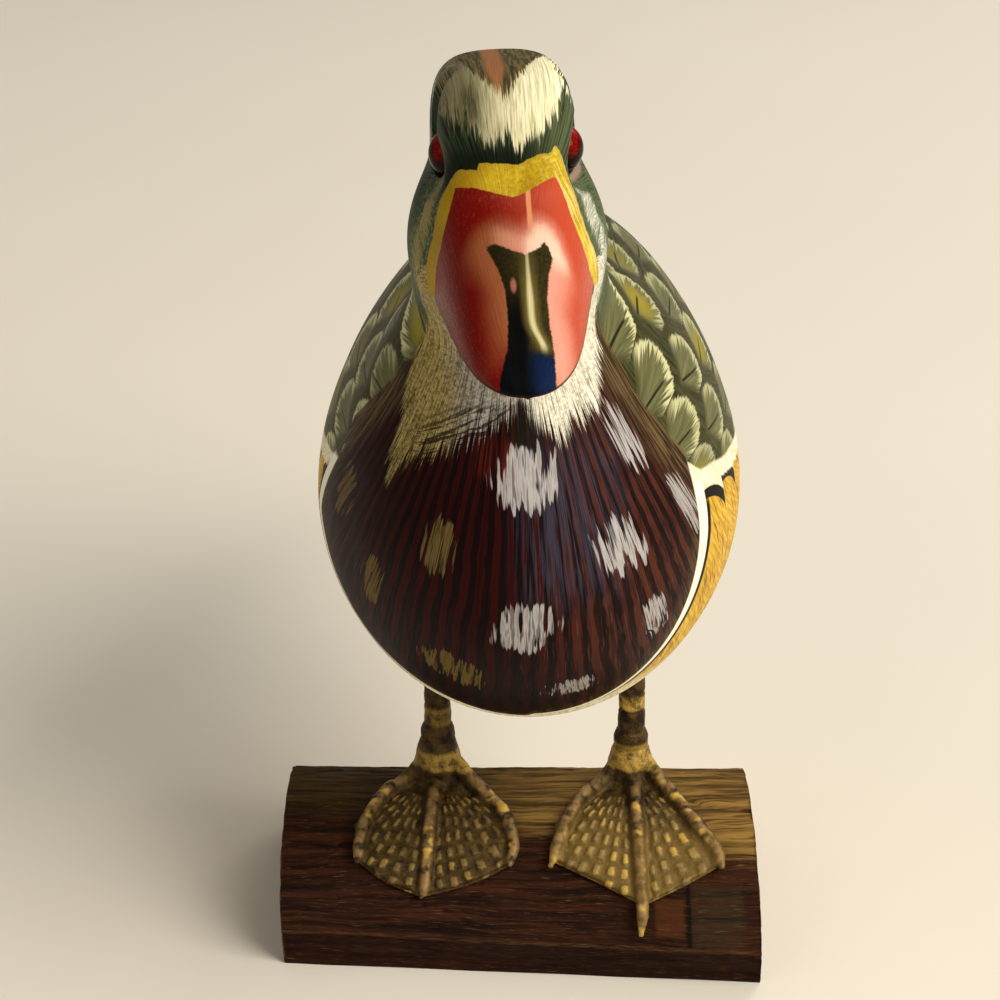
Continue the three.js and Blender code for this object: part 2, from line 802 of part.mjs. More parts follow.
function piece(name, geometry, finish) {
  geometry.computeVertexNormals();
  const mesh = new THREE.Mesh(geometry, new THREE.MeshStandardMaterial(finish));
  mesh.name = name;
  return mesh;
}

const stand = new THREE.Group();
stand.rotation.z = radians(LOG.turn);
stand.add(piece("log_base", logGeometry(), PAINT.log));
for (const [name, foot] of Object.entries(FEET)) {
  stand.add(piece(name, legGeometry(foot), PAINT.leg));
}

const duckOnLog = new THREE.Group();
duckOnLog.add(stand);
duckOnLog.add(piece("duck", duckGeometry(), PAINT.duck));
duckOnLog.add(piece("eye_left", eyeBall(1, EYE.radius), PAINT.eye));
duckOnLog.add(piece("eye_right", eyeBall(-1, EYE.radius), PAINT.eye));

export default duckOnLog;
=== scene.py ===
"""A carved and painted wood duck that stands on two cast legs on a half-round log.

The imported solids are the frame. This file dresses each of them in a fine mesh of the same form,
with its paint or finish. Lengths in the formulas are millimetres, in the duck's own frame: +Z is
up, the duck faces -Y, and its own left side is +X. Blender's objects are in metres.
"""

import bmesh
import bpy
import numpy as np
from bpy.props import FloatProperty, FloatVectorProperty, IntProperty, PointerProperty
from mathutils import Matrix, Vector


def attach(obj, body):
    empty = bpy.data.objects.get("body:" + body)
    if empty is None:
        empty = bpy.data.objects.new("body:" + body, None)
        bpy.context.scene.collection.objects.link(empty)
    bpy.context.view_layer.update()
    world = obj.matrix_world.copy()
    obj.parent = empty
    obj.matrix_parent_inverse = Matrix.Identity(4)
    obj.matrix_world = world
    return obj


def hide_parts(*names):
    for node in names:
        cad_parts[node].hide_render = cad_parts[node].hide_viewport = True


bl_info = {
    "name": "Carved duck",
    "version": (1, 0, 0),
    "blender": (4, 5, 0),
    "location": "View3D > Sidebar > Carved duck",
    "description": "Builds the painted duck, its eyes, cast legs and log around the packed solids",
    "category": "Add Mesh",
}

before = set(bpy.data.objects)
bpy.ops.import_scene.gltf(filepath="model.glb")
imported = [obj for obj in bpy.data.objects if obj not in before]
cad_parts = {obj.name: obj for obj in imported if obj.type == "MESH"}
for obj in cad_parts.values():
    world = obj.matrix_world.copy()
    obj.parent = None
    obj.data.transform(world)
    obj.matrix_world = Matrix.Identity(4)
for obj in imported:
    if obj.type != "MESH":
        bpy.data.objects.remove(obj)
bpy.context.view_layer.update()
MM = 0.001

# The duck's body as cross sections from breast to tail tip, in millimetres.
BODY_SECTIONS = [
    # y, half width, top height, bottom height
    (-61.0, 0.0, 110.0, 106.0),
    (-59.5, 8.5, 121.0, 97.0),
    (-56.0, 16.5, 131.0, 88.5),
    (-48.0, 26.2, 143.0, 77.0),
    (-38.0, 33.2, 150.5, 68.3),
    (-25.0, 39.0, 155.5, 61.0),
    (-10.0, 42.4, 156.4, 57.0),
    (5.0, 43.2, 155.6, 56.0),
    (22.0, 42.0, 153.4, 57.6),
    (45.0, 37.6, 148.2, 64.0),
    (70.0, 31.0, 139.4, 77.0),
    (92.0, 24.5, 129.5, 93.0),
    (112.0, 21.0, 121.0, 105.5),
    (126.0, 20.5, 116.2, 109.4),
    (136.0, 17.5, 113.6, 109.9),
]
BODY_WIDEST_PART = 0.47
BODY_ROUNDNESS_ABOVE = 1.74
BODY_ROUNDNESS_BELOW = 2.02

# The middle line that every ring of the surface goes around, tail tip to bill tip.
SPINE = [
    # y, z
    (135, 111.8),
    (112, 112.4),
    (88, 110.5),
    (60, 106.5),
    (32, 104.5),
    (8, 105.5),
    (-8, 109),
    (-20, 116),
    (-29, 126),
    (-34.5, 139),
    (-36, 155.2),
    (-38, 163.5),
    (-42.5, 169.2),
    (-49, 171),
    (-57, 168.5),
    (-68, 163),
    (-79, 158.4),
    (-88, 155.4),
]
NAPE = (0, 170.2)
THROAT = (-54.5, 147.5)
SHOULDER_STATIONS = (3.5, 7)
NECK_STATIONS = (9.5, 10.5)
BILL_STATIONS = (12.5, 15.5)
BILL_RING_LEAN = 16

CRANIUM = {"at": (0, -33, 183.5), "radii": (12.8, 23.5, 15.8), "squareness": 3.6, "tilt": -8}
CHEEKS = {"at": (0, -37, 167.5), "radii": (17.2, 19, 14.5), "squareness": 2.3, "tilt": 10}
CREST = {"at": (0, -16.5, 179), "radii": (9.4, 15, 11.5), "squareness": 2.0, "tilt": -42}
NECK = {"foot": (-22, 128), "head": (-35, 164), "foot_radius": 24, "head_radius": 14.6, "narrower": 1.04}
BILL_BASE = -46.0
BILL_TIP = -86.5
BILL_HALF_WIDTH = 15.2
BILL_NARROWING = 0.46
MOUTH_HEIGHT = 164.0
MOUTH_DROP = 7.5
BILL_RIDGE_HEIGHT = 25.5
BILL_RIDGE_FALL = 1.05
CHIN_DEPTH = 7.5
BILL_TIP_ABOVE = (2.2, 4)
BILL_TIP_BELOW = (2.0, 5)
BILL_TIP_SIDES = 7
BILL_ROUNDNESS = (2.9, 2.1)
CHIN_ROUNDNESS = 2.2
BLEND_NECK_TO_BODY = 16
BLEND_CHEEKS = 6
BLEND_CREST = 8
BLEND_HEAD_TO_NECK = 10
BLEND_BILL = 3

HEAD_TURN = 4.6
HEAD_LEAN = 1.8
HEAD_SHIFT = -3.9
TURN_AXIS = (-35, 165)
TURN_STATIONS = (7, 11)
DUCK_SHIFT = 1.5

WING_EDGE = [
    # y, degrees down from the back
    (-15, 76),
    (20, 82),
    (50, 77),
    (75, 60),
    (95, 37),
    (110, 20),
    (119, 3),
]
WING_DEPTH = 1.7
WING_STATIONS = (8, 70)
WING_EDGE_HALF = 1.4

EYE_AT = (9.3, -41.5, 185)
EYE_RINGS, EYE_SIDES = 48, 96
EYE_RADIUS = 4.5
EYE_HOLLOW = {"left": (13.9, -46.5, 184.6), "right": (16.1, -46.5, 184.6), "radii": (5.2, 8.5, 6.4)}
EYE_HOLLOW_BLEND = 1.2
GAP = 0.3

LOG_HALF_LENGTH = 50.7
LOG_WIDEST_HEIGHT = 8
LOG_HALF_DEPTHS = (29.2, 30.8)
LOG_RISES = (16.3, 20.6)
LOG_TURN = -2.8
LOG_END_SKEW = 0.07
LOG_END_LEAN = 0.035
LOG_UNDER_HALF_DEPTH = 28.2
LOG_GIRTH_RADIUS = 26
LOG_RINGS = 300
LOG_SIDES = 280
LOG_END_RINGS = 22
LOG_HEART_HEIGHT = 9
LOG_CRACKS = [
    # from and to x; girth, slope and bend; half width; depth
    ((36, 51), (0.5, 0.32, 0.5), 0.55, 1.1),
    ((40, 51), (12.8, 0.05, 0.3), 0.5, 0.9),
    ((38, 51), (17.6, 0.06, 0.35), 0.55, 0.9),
    ((-51, -30), (8.6, -0.02, 0.6), 0.6, 0.8),
    ((-51, -12), (14.5, 0.03, 0.5), 0.5, 0.7),
    ((-20, 30), (21.5, 0.02, 0.7), 0.6, 0.6),
    ((-51, 46), (-14, 0.03, 0.9), 0.5, 0.6),
    ((-30, 51), (-24, -0.02, 0.8), 0.5, 0.7),
]

LEG_RADIUS = 2.9
LEG_SOCKET_DEPTH = 4.5
LEG_WAIST = 0.2
LEG_SUNK = 4
ANKLE_HEIGHT = 39
ANKLE_PROFILE = [(5.4, -8.5), (4.6, -4.5), (3.7, -1.5), (3.7, 0.5), (3.0, 2.4)]
TOE_ROOT_RADIUS = 1.9
TOE_END_RADIUS = 1.25
TOE_TIP_RADIUS = 0.45
CLAW_STARTS = 0.84
CLAW_TAPER = 0.68
KNUCKLE_SIZE = 0.55
KNUCKLE_LENGTH = 0.05
TOE_LIFT = 1.1
TOE_ANKLE_LIFT = 7.6
TOE_ANKLE_SLOPE = 1.9
TOE_ANKLE_SHARE = 0.34
WEB_THICKNESS = 1.5
WEB_STARTS = 0.03
WEB_SUNK = 1
HIND_TOE_LENGTH = 8
HIND_TOE_RADII = (1.5, 0.5)
HIND_TOE_BEHIND = 2.5
HIND_TOE_RISE = 2.2
HIND_TOE_SUNK = 0.5
LEG_VOXEL = 0.32
LEG_SOFTENING = 5
LEG_RING_HEIGHTS = (37.4, 41.2, 46.2, 50.6)
SCALE_ROW = 3.5
SCALE_COLUMN = 6.4
FEET = [
    {
        "name": "leg_left",
        "ankle": (23.6, -5.5),
        "toes": [
            [(14.3, 1.8), (10.1, 10.3), (7.7, 20)],
            [(24.6, 0), (25.7, 10.7), (26.7, 21.5), (27.3, 28.5), (27.2, 35.5)],
            [(32.5, 1.8), (38.5, 10.1), (42.3, 15), (43.7, 19.5)],
        ],
        "web_reach": 0.93,
        "middle_reach": 0.78,
        "web_hollow": 0.01,
        "gold_bands": [(46.8, 49.8, 1.0), (33.1, 38.6, 0.8)],  # from height, to height, strength
        "rubbed": 1.0,
        "scales": 1.0,
    },
    {
        "name": "leg_right",
        "ankle": (-18.4, -5.5),
        "toes": [
            [(-28.5, 0.2), (-32.9, 10.8), (-33.3, 19.8)],
            [(-18.7, 0.2), (-18.6, 11), (-18.6, 24.7), (-19.3, 28)],
            [(-7.7, 1.8), (-2.9, 7.2), (-0.5, 13.9), (-0.8, 20)],
        ],
        "web_reach": 0.95,
        "middle_reach": 0.93,
        "web_hollow": -0.06,
        "gold_bands": [(41.5, 45.5, 0.4), (31.4, 35.2, 0.6)],
        "rubbed": 0.1,
        "scales": 0.6,
    },
]

DUCK_SIDES = 204
DUCK_RING_STOPS = [(0, 0), (1, 40), (4, 60), (9.5, 180), (13, 90), (13.3, 10), (13.9, 28), (16, 42), (17, 34)]
SEARCH_STEP = 1.5
HALVINGS = 16

CAMERA_AZIMUTH = 1.2
CAMERA_ELEVATION = 25
CAMERA_FOCAL_PIXELS = 2600
FRAME_PIXELS = 1000
CAMERA_MARK = (0.632, -30.07, 0)
CAMERA_MARK_PIXEL = (521, 978)
CAMERA_DISTANCE = 2600 * 102 / 483
FLOOR = 3000
LAMPS_LOOK_AT = (0, -0.02, 0.1)
LAMPS = [
    # name, place in metres, size, tint
    ("key", (1.2, -0.8, 1.25), 1.2, (1, 0.96, 0.88)),
    ("fill", (-1.2, -1.0, 0.85), 1.2, (1, 0.94, 0.86)),
    ("rim", (0.7, 1.1, 1.15), 0.8, (1, 0.96, 0.9)),
]
ROOM_TINT = (1.0, 0.95, 0.88, 1.0)

# Outlines of the paint. Back degrees count from the duck's back, belly degrees from its belly,
# both towards its left side. A station counts the rings' stops along the spine.
THROAT_PATCH = [
    # belly degrees, station
    (-76, 14.5), (-76, 12.2), (-70, 10.6), (-72, 10.03), (-79, 9.55), (-74, 9.29), (-66, 9.1), (-61, 8.92),
    (-59, 8.76), (-56, 8.67), (-54, 8.77), (-52, 8.93), (-49, 9.06), (-43, 9.16), (-36, 9.27), (-24, 9.42),
    (-10, 9.54), (-1, 9.61), (4, 9.59), (11, 9.5), (20, 9.42), (27, 9.455), (41, 9.433), (49, 9.477),
    (57, 9.576), (65, 9.708), (67, 10.2), (70, 11), (76, 12.2), (76, 14.5),
]
THROAT_SCALE = (0.38, 15)
BAND_OUTER_EDGE = [
    # back degrees, station
    (-180, 12.6), (-126, 12.6), (-116, 12.85), (-81, 13.39), (-53, 13.4), (-37, 13.52), (-30, 13.59),
    (-25, 13.66), (-19, 13.71), (-18, 13.69), (-11, 13.71), (4, 13.72), (11, 13.7), (20, 13.655), (21.5, 13.605),
    (26, 13.585), (34, 13.56), (42, 13.55), (50, 13.57), (58, 13.63), (71, 13.66), (85, 13.52), (97, 13.26),
    (108, 13), (116, 12.65), (126, 12.2), (180, 12.6),
]
BAND_INNER_EDGE = [
    # back degrees, station
    (-180, 13.6), (-126, 13.5), (-113, 13.67), (-76, 13.86), (-58, 13.76), (-46, 13.67), (-37, 13.62),
    (-30, 13.72), (-21, 13.795), (-12, 13.85), (0, 13.895), (5, 13.88), (12, 13.84), (21, 13.765), (28, 13.69),
    (35, 13.72), (41, 13.77), (50, 13.9), (58, 14.01), (74, 14.08), (93, 14.05), (104, 13.85), (115, 13.5),
    (126, 13), (180, 13.6),
]
BILL_PATCH = [
    # x, y
    (-5.2, -64.7), (-3.6, -64.6), (-2.4, -65.2), (-0.6, -66), (1.5, -66.6), (3.4, -65.8), (4.9, -64.4),
    (5.6, -65), (6.1, -66.7), (5.2, -69.3), (4.6, -72.9), (4.7, -77.3), (5.1, -81.3), (5.0, -84.5), (4.4, -88),
    (-5.2, -88), (-5.0, -86), (-4.3, -83.6), (-2.8, -80.2), (-2.4, -76), (-2.5, -71.6), (-3.4, -68.7),
]
BREAST_EDGE_LEFT = [
    # station, belly degrees
    (7.2, 180), (7.6, 96), (8, 79), (8.3, 75), (8.8, 72), (9.2, 71), (9.5, 72), (9.9, 69), (10.5, 66), (13, 60),
]
BREAST_EDGE_RIGHT = [
    # station, belly degrees
    (6.4, 180), (6.8, 110), (7.4, 93), (7.8, 95), (8.6, 92), (9.04, 88), (9.44, 80), (9.9, 70), (10.5, 66), (13, 60),
]
FLANK_FRONT_LEFT = [
    # z, y
    (50, -38), (71, -40), (80, -39.5), (100, -38.5), (112, -37.6), (122, -37),
]
FLANK_FRONT_RIGHT = [
    # z, y
    (50, -38), (70, -37), (80, -29), (92, -20), (103, -17), (112, -22), (122, -28),
]
WING_PAINT_EDGE = [
    # y, z
    (-60, 124), (-36.8, 122.2), (-33.7, 119.4), (-28.7, 118.8), (-20.1, 116.9), (-9.7, 114.2), (5, 110), (20, 60),
]
FEATHER_ROWS = [
    # y, row
    (-64, -1.2), (-43, 0), (-27.5, 1), (-11, 2), (13, 3), (43, 4), (75, 5), (110, 6), (140, 6.8),
]
FEATHER_ANGLE = 15.5
FEATHER_AXIS_HEIGHT = 104
FAN_OFFSET = 0.31
STRIPE_DEGREES = 4.4
CRESCENT_START = -35.5
CRESCENT_STEP = 9.7
CRESCENT_HEIGHT = 104.9
CRESCENT_RADIUS = 10.5
TUFTS = [
    # x, y, z, half length, half width, whiteness
    (0.8, -57.3, 128.4, 6.6, 5.6, 0.95),
    (17.8, -54.8, 113.1, 7.2, 5.2, 1.0),
    (-15.7, -56, 114.1, 6.2, 3.4, 0.35),
    (-29.4, -43.2, 100.5, 7.2, 3.2, 0.25),
    (0, -59.9, 98.7, 6.4, 6.2, 0.85),
    (24.8, -47.2, 95.5, 6.2, 3.0, 0.8),
    (-14.2, -50.5, 85.5, 5.2, 6.6, 0.3),
    (8.9, -50, 81.3, 3.6, 4.8, 0.6),
    (18.9, -47.6, 131.7, 8.6, 2.7, 1.0),
    (30.5, -40.6, 116, 8.4, 2.5, 0.75),
    (-34.4, -33.6, 115, 7.5, 3.6, 0.12),
]
TUFT_REACH = 9
CROWN_BROWN_EDGE = [
    # x, y
    (-14, -8), (-9, -16), (-7.5, -26), (-6.8, -36), (-5.4, -45), (-3.2, -49.2), (-0.3, -52.8), (0.8, -50.4),
    (2.3, -47.6), (3.4, -44.6), (5.2, -38.5), (7.2, -29.5), (9.5, -20), (14, -14),
]
IVORY_LOWER_EDGE = [
    # x, z
    (-14, 193.5), (-11, 193.8), (-9, 193.4), (-6, 192.8), (-3.7, 190), (-1, 191.5), (1, 189.4), (3.7, 189.8), (6, 191.4),
    (7.6, 193.8), (9, 195.6), (11, 196.6), (14, 197),
]
def smooth_step(start, stop, value):
    t = np.clip((value - start) / (stop - start), 0, 1)
    return t * t * (3 - 2 * t)


def smooth_min(a, b, blend):
    overlap = np.maximum(blend - np.abs(a - b), 0) / blend
    return np.minimum(a, b) - overlap * overlap * blend * 0.25


def mix(a, b, share):
    return a + (b - a) * share


def curve_through(rows, column):
    """A curve through the rows of a table that doesn't swing past them. Column 0 is the input."""
    table = np.array(rows, float)
    inputs, values = table[:, 0], table[:, column]
    slopes = np.diff(values) / np.diff(inputs)
    before = np.concatenate([slopes[:1], slopes])
    after = np.concatenate([slopes, slopes[-1:]])
    safe = np.where(before + after == 0, 1, before + after)
    tangents = np.where(before * after <= 0, 0, 2 * before * after / safe)

    def curve(x):
        x = np.clip(x, inputs[0], inputs[-1])
        i = np.clip(np.searchsorted(inputs, x) - 1, 0, len(inputs) - 2)
        step = inputs[i + 1] - inputs[i]
        t = (x - inputs[i]) / step
        ease = t * t * (3 - 2 * t)
        pull = t * (1 - t) * step * ((1 - t) * tangents[i] - t * tangents[i + 1])
        return values[i] + (values[i + 1] - values[i]) * ease + pull

    return curve


body_half_width = curve_through(BODY_SECTIONS, 1)
body_top = curve_through(BODY_SECTIONS, 2)
body_bottom = curve_through(BODY_SECTIONS, 3)
wing_edge_angle = curve_through(WING_EDGE, 1)


def round_form(x, y, z, at, radii, squareness, tilt):
    """Roughly the distance outside a rounded box or ellipsoid that is tilted about the x axis."""
    turn = np.radians(tilt)
    dy = y - at[1]
    dz = z - at[2]
    dx = x - at[0]
    along = dy * np.cos(turn) + dz * np.sin(turn)
    up = dz * np.cos(turn) - dy * np.sin(turn)
    parts = [np.abs(v / r) ** squareness for v, r in zip((dx, along, up), radii)]
    share = sum(parts) ** (1 / squareness)
    return np.sqrt(dx**2 + along**2 + up**2) * (1 - 1 / np.maximum(share, 1e-6))


def section_form(x, z, half_width, top, bottom, middle, round_above, round_below):
    """Roughly the distance outside one cross section."""
    height = z - middle
    above = height > 0
    reach = np.where(above, top - middle, middle - bottom)
    roundness = np.where(above, round_above, round_below)
    across = np.abs(x) / np.maximum(half_width, 0.3)
    up = np.abs(height) / np.maximum(reach, 0.3)
    share = (across**roundness + up**roundness) ** (1 / roundness)
    return np.hypot(x, height) * (1 - 1 / np.maximum(share, 1e-6))


def with_ends(distance, y, start, stop):
    past = np.maximum(start - y, y - stop)
    return np.where(past > 0, np.hypot(np.maximum(distance, 0), past), distance)


def body_form(x, y, z):
    bottom = body_bottom(y)
    top = body_top(y)
    middle = mix(bottom, top, BODY_WIDEST_PART)
    distance = section_form(
        x, z, body_half_width(y), top, bottom, middle, BODY_ROUNDNESS_ABOVE, BODY_ROUNDNESS_BELOW
    )
    return with_ends(distance, y, BODY_SECTIONS[0][0], BODY_SECTIONS[-1][0])


def mouth_height(y):
    return MOUTH_HEIGHT - MOUTH_DROP * np.clip((y - BILL_BASE) / (BILL_TIP - BILL_BASE), 0, 1)


def bill_form(x, y, z):
    s = np.clip((y - BILL_BASE) / (BILL_TIP - BILL_BASE), 0, 1)
    mouth = mouth_height(y)
    half_width = BILL_HALF_WIDTH * (1 - BILL_NARROWING * s) * np.sqrt(1 - s**BILL_TIP_SIDES)
    ridge = BILL_RIDGE_HEIGHT * (1 - s) ** BILL_RIDGE_FALL
    top = mouth + ridge + BILL_TIP_ABOVE[0] * np.sqrt(1 - s ** BILL_TIP_ABOVE[1])
    bottom = mouth - CHIN_DEPTH * (1 - s) - BILL_TIP_BELOW[0] * np.sqrt(1 - s ** BILL_TIP_BELOW[1])
    distance = section_form(x, z, half_width, top, bottom, mouth, mix(*BILL_ROUNDNESS, s), CHIN_ROUNDNESS)
    return with_ends(distance, y, BILL_TIP, BILL_BASE)


def neck_form(x, y, z):
    foot_y, foot_z = NECK["foot"]
    along_y = NECK["head"][0] - foot_y
    along_z = NECK["head"][1] - foot_z
    t = np.clip(((y - foot_y) * along_y + (z - foot_z) * along_z) / (along_y**2 + along_z**2), 0, 1)
    dy = y - foot_y - along_y * t
    dz = z - foot_z - along_z * t
    radius = mix(NECK["foot_radius"], NECK["head_radius"], t)
    return np.sqrt((x * NECK["narrower"]) ** 2 + dy**2 + dz**2) - radius


def duck_form(x, y, z):
    """Roughly the distance outside the duck, before the head is turned."""
    skull = smooth_min(round_form(x, y, z, **CRANIUM), round_form(x, y, z, **CHEEKS), BLEND_CHEEKS)
    head = smooth_min(skull, round_form(x, y, z, **CREST), BLEND_CREST)
    trunk = smooth_min(body_form(x, y, z), neck_form(x, y, z), BLEND_NECK_TO_BODY)
    whole = smooth_min(trunk, head, BLEND_HEAD_TO_NECK)
    return smooth_min(whole, bill_form(x, y, z), BLEND_BILL)


def wing_distance(x, y, z):
    """How far a point of the body is inside the folded wing's edge, negative outside it."""
    bottom = body_bottom(y)
    top = body_top(y)
    half_width = np.maximum(body_half_width(y), 1)
    middle = mix(bottom, top, BODY_WIDEST_PART)
    radius = (half_width + top - middle) / 2
    down = np.arctan2(np.abs(x) / half_width, (z - middle) / (top - middle))
    inside = (np.radians(wing_edge_angle(y)) - down) * radius
    return np.minimum(inside, WING_EDGE[-1][0] - y)


def wing_relief(x, y, z):
    """How far the folded wings stand out of the body."""
    shape = smooth_step(-WING_EDGE_HALF, WING_EDGE_HALF, wing_distance(x, y, z))
    return WING_DEPTH * shape * smooth_step(*WING_STATIONS, y)


def spine_point(station):
    """The spine's y and z at a station, on a curve through its points."""
    points = np.array(SPINE, float)
    i = np.clip(np.floor(station).astype(int), 0, len(points) - 2)
    t = (station - i)[:, None]
    a, b, c, d = (points[np.clip(i + k, 0, len(points) - 1)] for k in (-1, 0, 1, 2))
    bend = (2 * a - 5 * b + 4 * c - d) * t**2 + (3 * b - a - 3 * c + d) * t**3
    return 0.5 * (2 * b + (c - a) * t + bend)


def unit(v):
    return v / np.linalg.norm(v, axis=-1, keepdims=True)


def ring_up(station, spine):
    """The direction in which each ring's top lies, as y and z."""
    upright = np.zeros_like(spine) + (0, 1)
    lean = np.radians(BILL_RING_LEAN)
    forward = np.zeros_like(spine) + (-np.sin(lean), np.cos(lean))
    up = unit(mix(upright, unit(np.array(NAPE) - spine), smooth_step(*SHOULDER_STATIONS, station)[:, None]))
    up = unit(mix(up, unit(spine - np.array(THROAT)), smooth_step(*NECK_STATIONS, station)[:, None]))
    return unit(mix(up, forward, smooth_step(*BILL_STATIONS, station)[:, None]))


def pose(points, share):
    """Turns and leans the head, and the neck by degrees, and sets the duck over the log."""
    axis_y, axis_z = TURN_AXIS
    x, y, z = points[..., 0], points[..., 1] - axis_y, points[..., 2] - axis_z
    turn = np.radians(HEAD_TURN) * share
    x, y = x * np.cos(turn) - y * np.sin(turn), x * np.sin(turn) + y * np.cos(turn)
    lean = np.radians(HEAD_LEAN) * share
    x, z = x * np.cos(lean) - z * np.sin(lean), x * np.sin(lean) + z * np.cos(lean)
    return np.stack([x + DUCK_SHIFT + HEAD_SHIFT * share, y + axis_y, z + axis_z], -1)


# Meshes


def new_object(name, vertices, faces):
    """An object from vertices in millimetres and faces, smooth shaded."""
    mesh = bpy.data.meshes.new(name)
    mesh.from_pydata((np.asarray(vertices) * MM).tolist(), [], faces)
    mesh.validate()
    mesh.polygons.foreach_set("use_smooth", [True] * len(mesh.polygons))
    piece = bpy.data.objects.new(name, mesh)
    bpy.context.scene.collection.objects.link(piece)
    face_outwards(mesh)
    return piece


def face_outwards(mesh):
    shape = bmesh.new()
    shape.from_mesh(mesh)
    bmesh.ops.recalc_face_normals(shape, faces=shape.faces)
    shape.to_mesh(mesh)
    shape.free()


def tube_faces(rings, sides):
    """Faces of rings of points joined into a tube, with a fan's middle point after them at each end."""
    r, s = np.meshgrid(np.arange(rings - 1), np.arange(sides), indexing="ij")
    r, s = r.ravel(), s.ravel()
    beside = (s + 1) % sides
    quads = np.stack([r * sides + s, r * sides + beside, (r + 1) * sides + beside, (r + 1) * sides + s], 1)
    first = rings * sides
    last = (rings - 1) * sides
    fans = [(first, (k + 1) % sides, k) for k in range(sides)]
    fans += [(first + 1, last + k, last + (k + 1) % sides) for k in range(sides)]
    return quads.tolist() + fans


def tube_points(rings):
    """Rings of points in one list, with the middle of each end after them."""
    return np.concatenate([rings.reshape(-1, 3), rings[0].mean(0)[None], rings[-1].mean(0)[None]])


def store(piece, name, values):
    """Keeps one number or three for each vertex, for the paint to read."""
    kind, key = ("FLOAT_VECTOR", "vector") if values.ndim == 2 else ("FLOAT", "value")
    attribute = piece.data.attributes.new(name, kind, "POINT")
    attribute.data.foreach_set(key, np.ascontiguousarray(values, np.float32).ravel())


def finish_piece(piece, material, node):
    piece.data.materials.append(material)
    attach(piece, "root")
    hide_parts(node)


# Formulas as material nodes


class Field:
    """A number or colour that varies over the surface: one output of a node."""

    def __init__(self, coat, socket):
        self.coat = coat
        self.socket = socket

    def __add__(self, other):
        return self.coat.math("ADD", self, other)

    def __radd__(self, other):
        return self.coat.math("ADD", other, self)

    def __sub__(self, other):
        return self.coat.math("SUBTRACT", self, other)

    def __rsub__(self, other):
        return self.coat.math("SUBTRACT", other, self)

    def __mul__(self, other):
        return self.coat.math("MULTIPLY", self, other)

    def __rmul__(self, other):
        return self.coat.math("MULTIPLY", other, self)

    def __truediv__(self, other):
        return self.coat.math("DIVIDE", self, other)

    def __neg__(self):
        return self.coat.math("MULTIPLY", self, -1.0)

    def __abs__(self):
        return self.coat.math("ABSOLUTE", self)


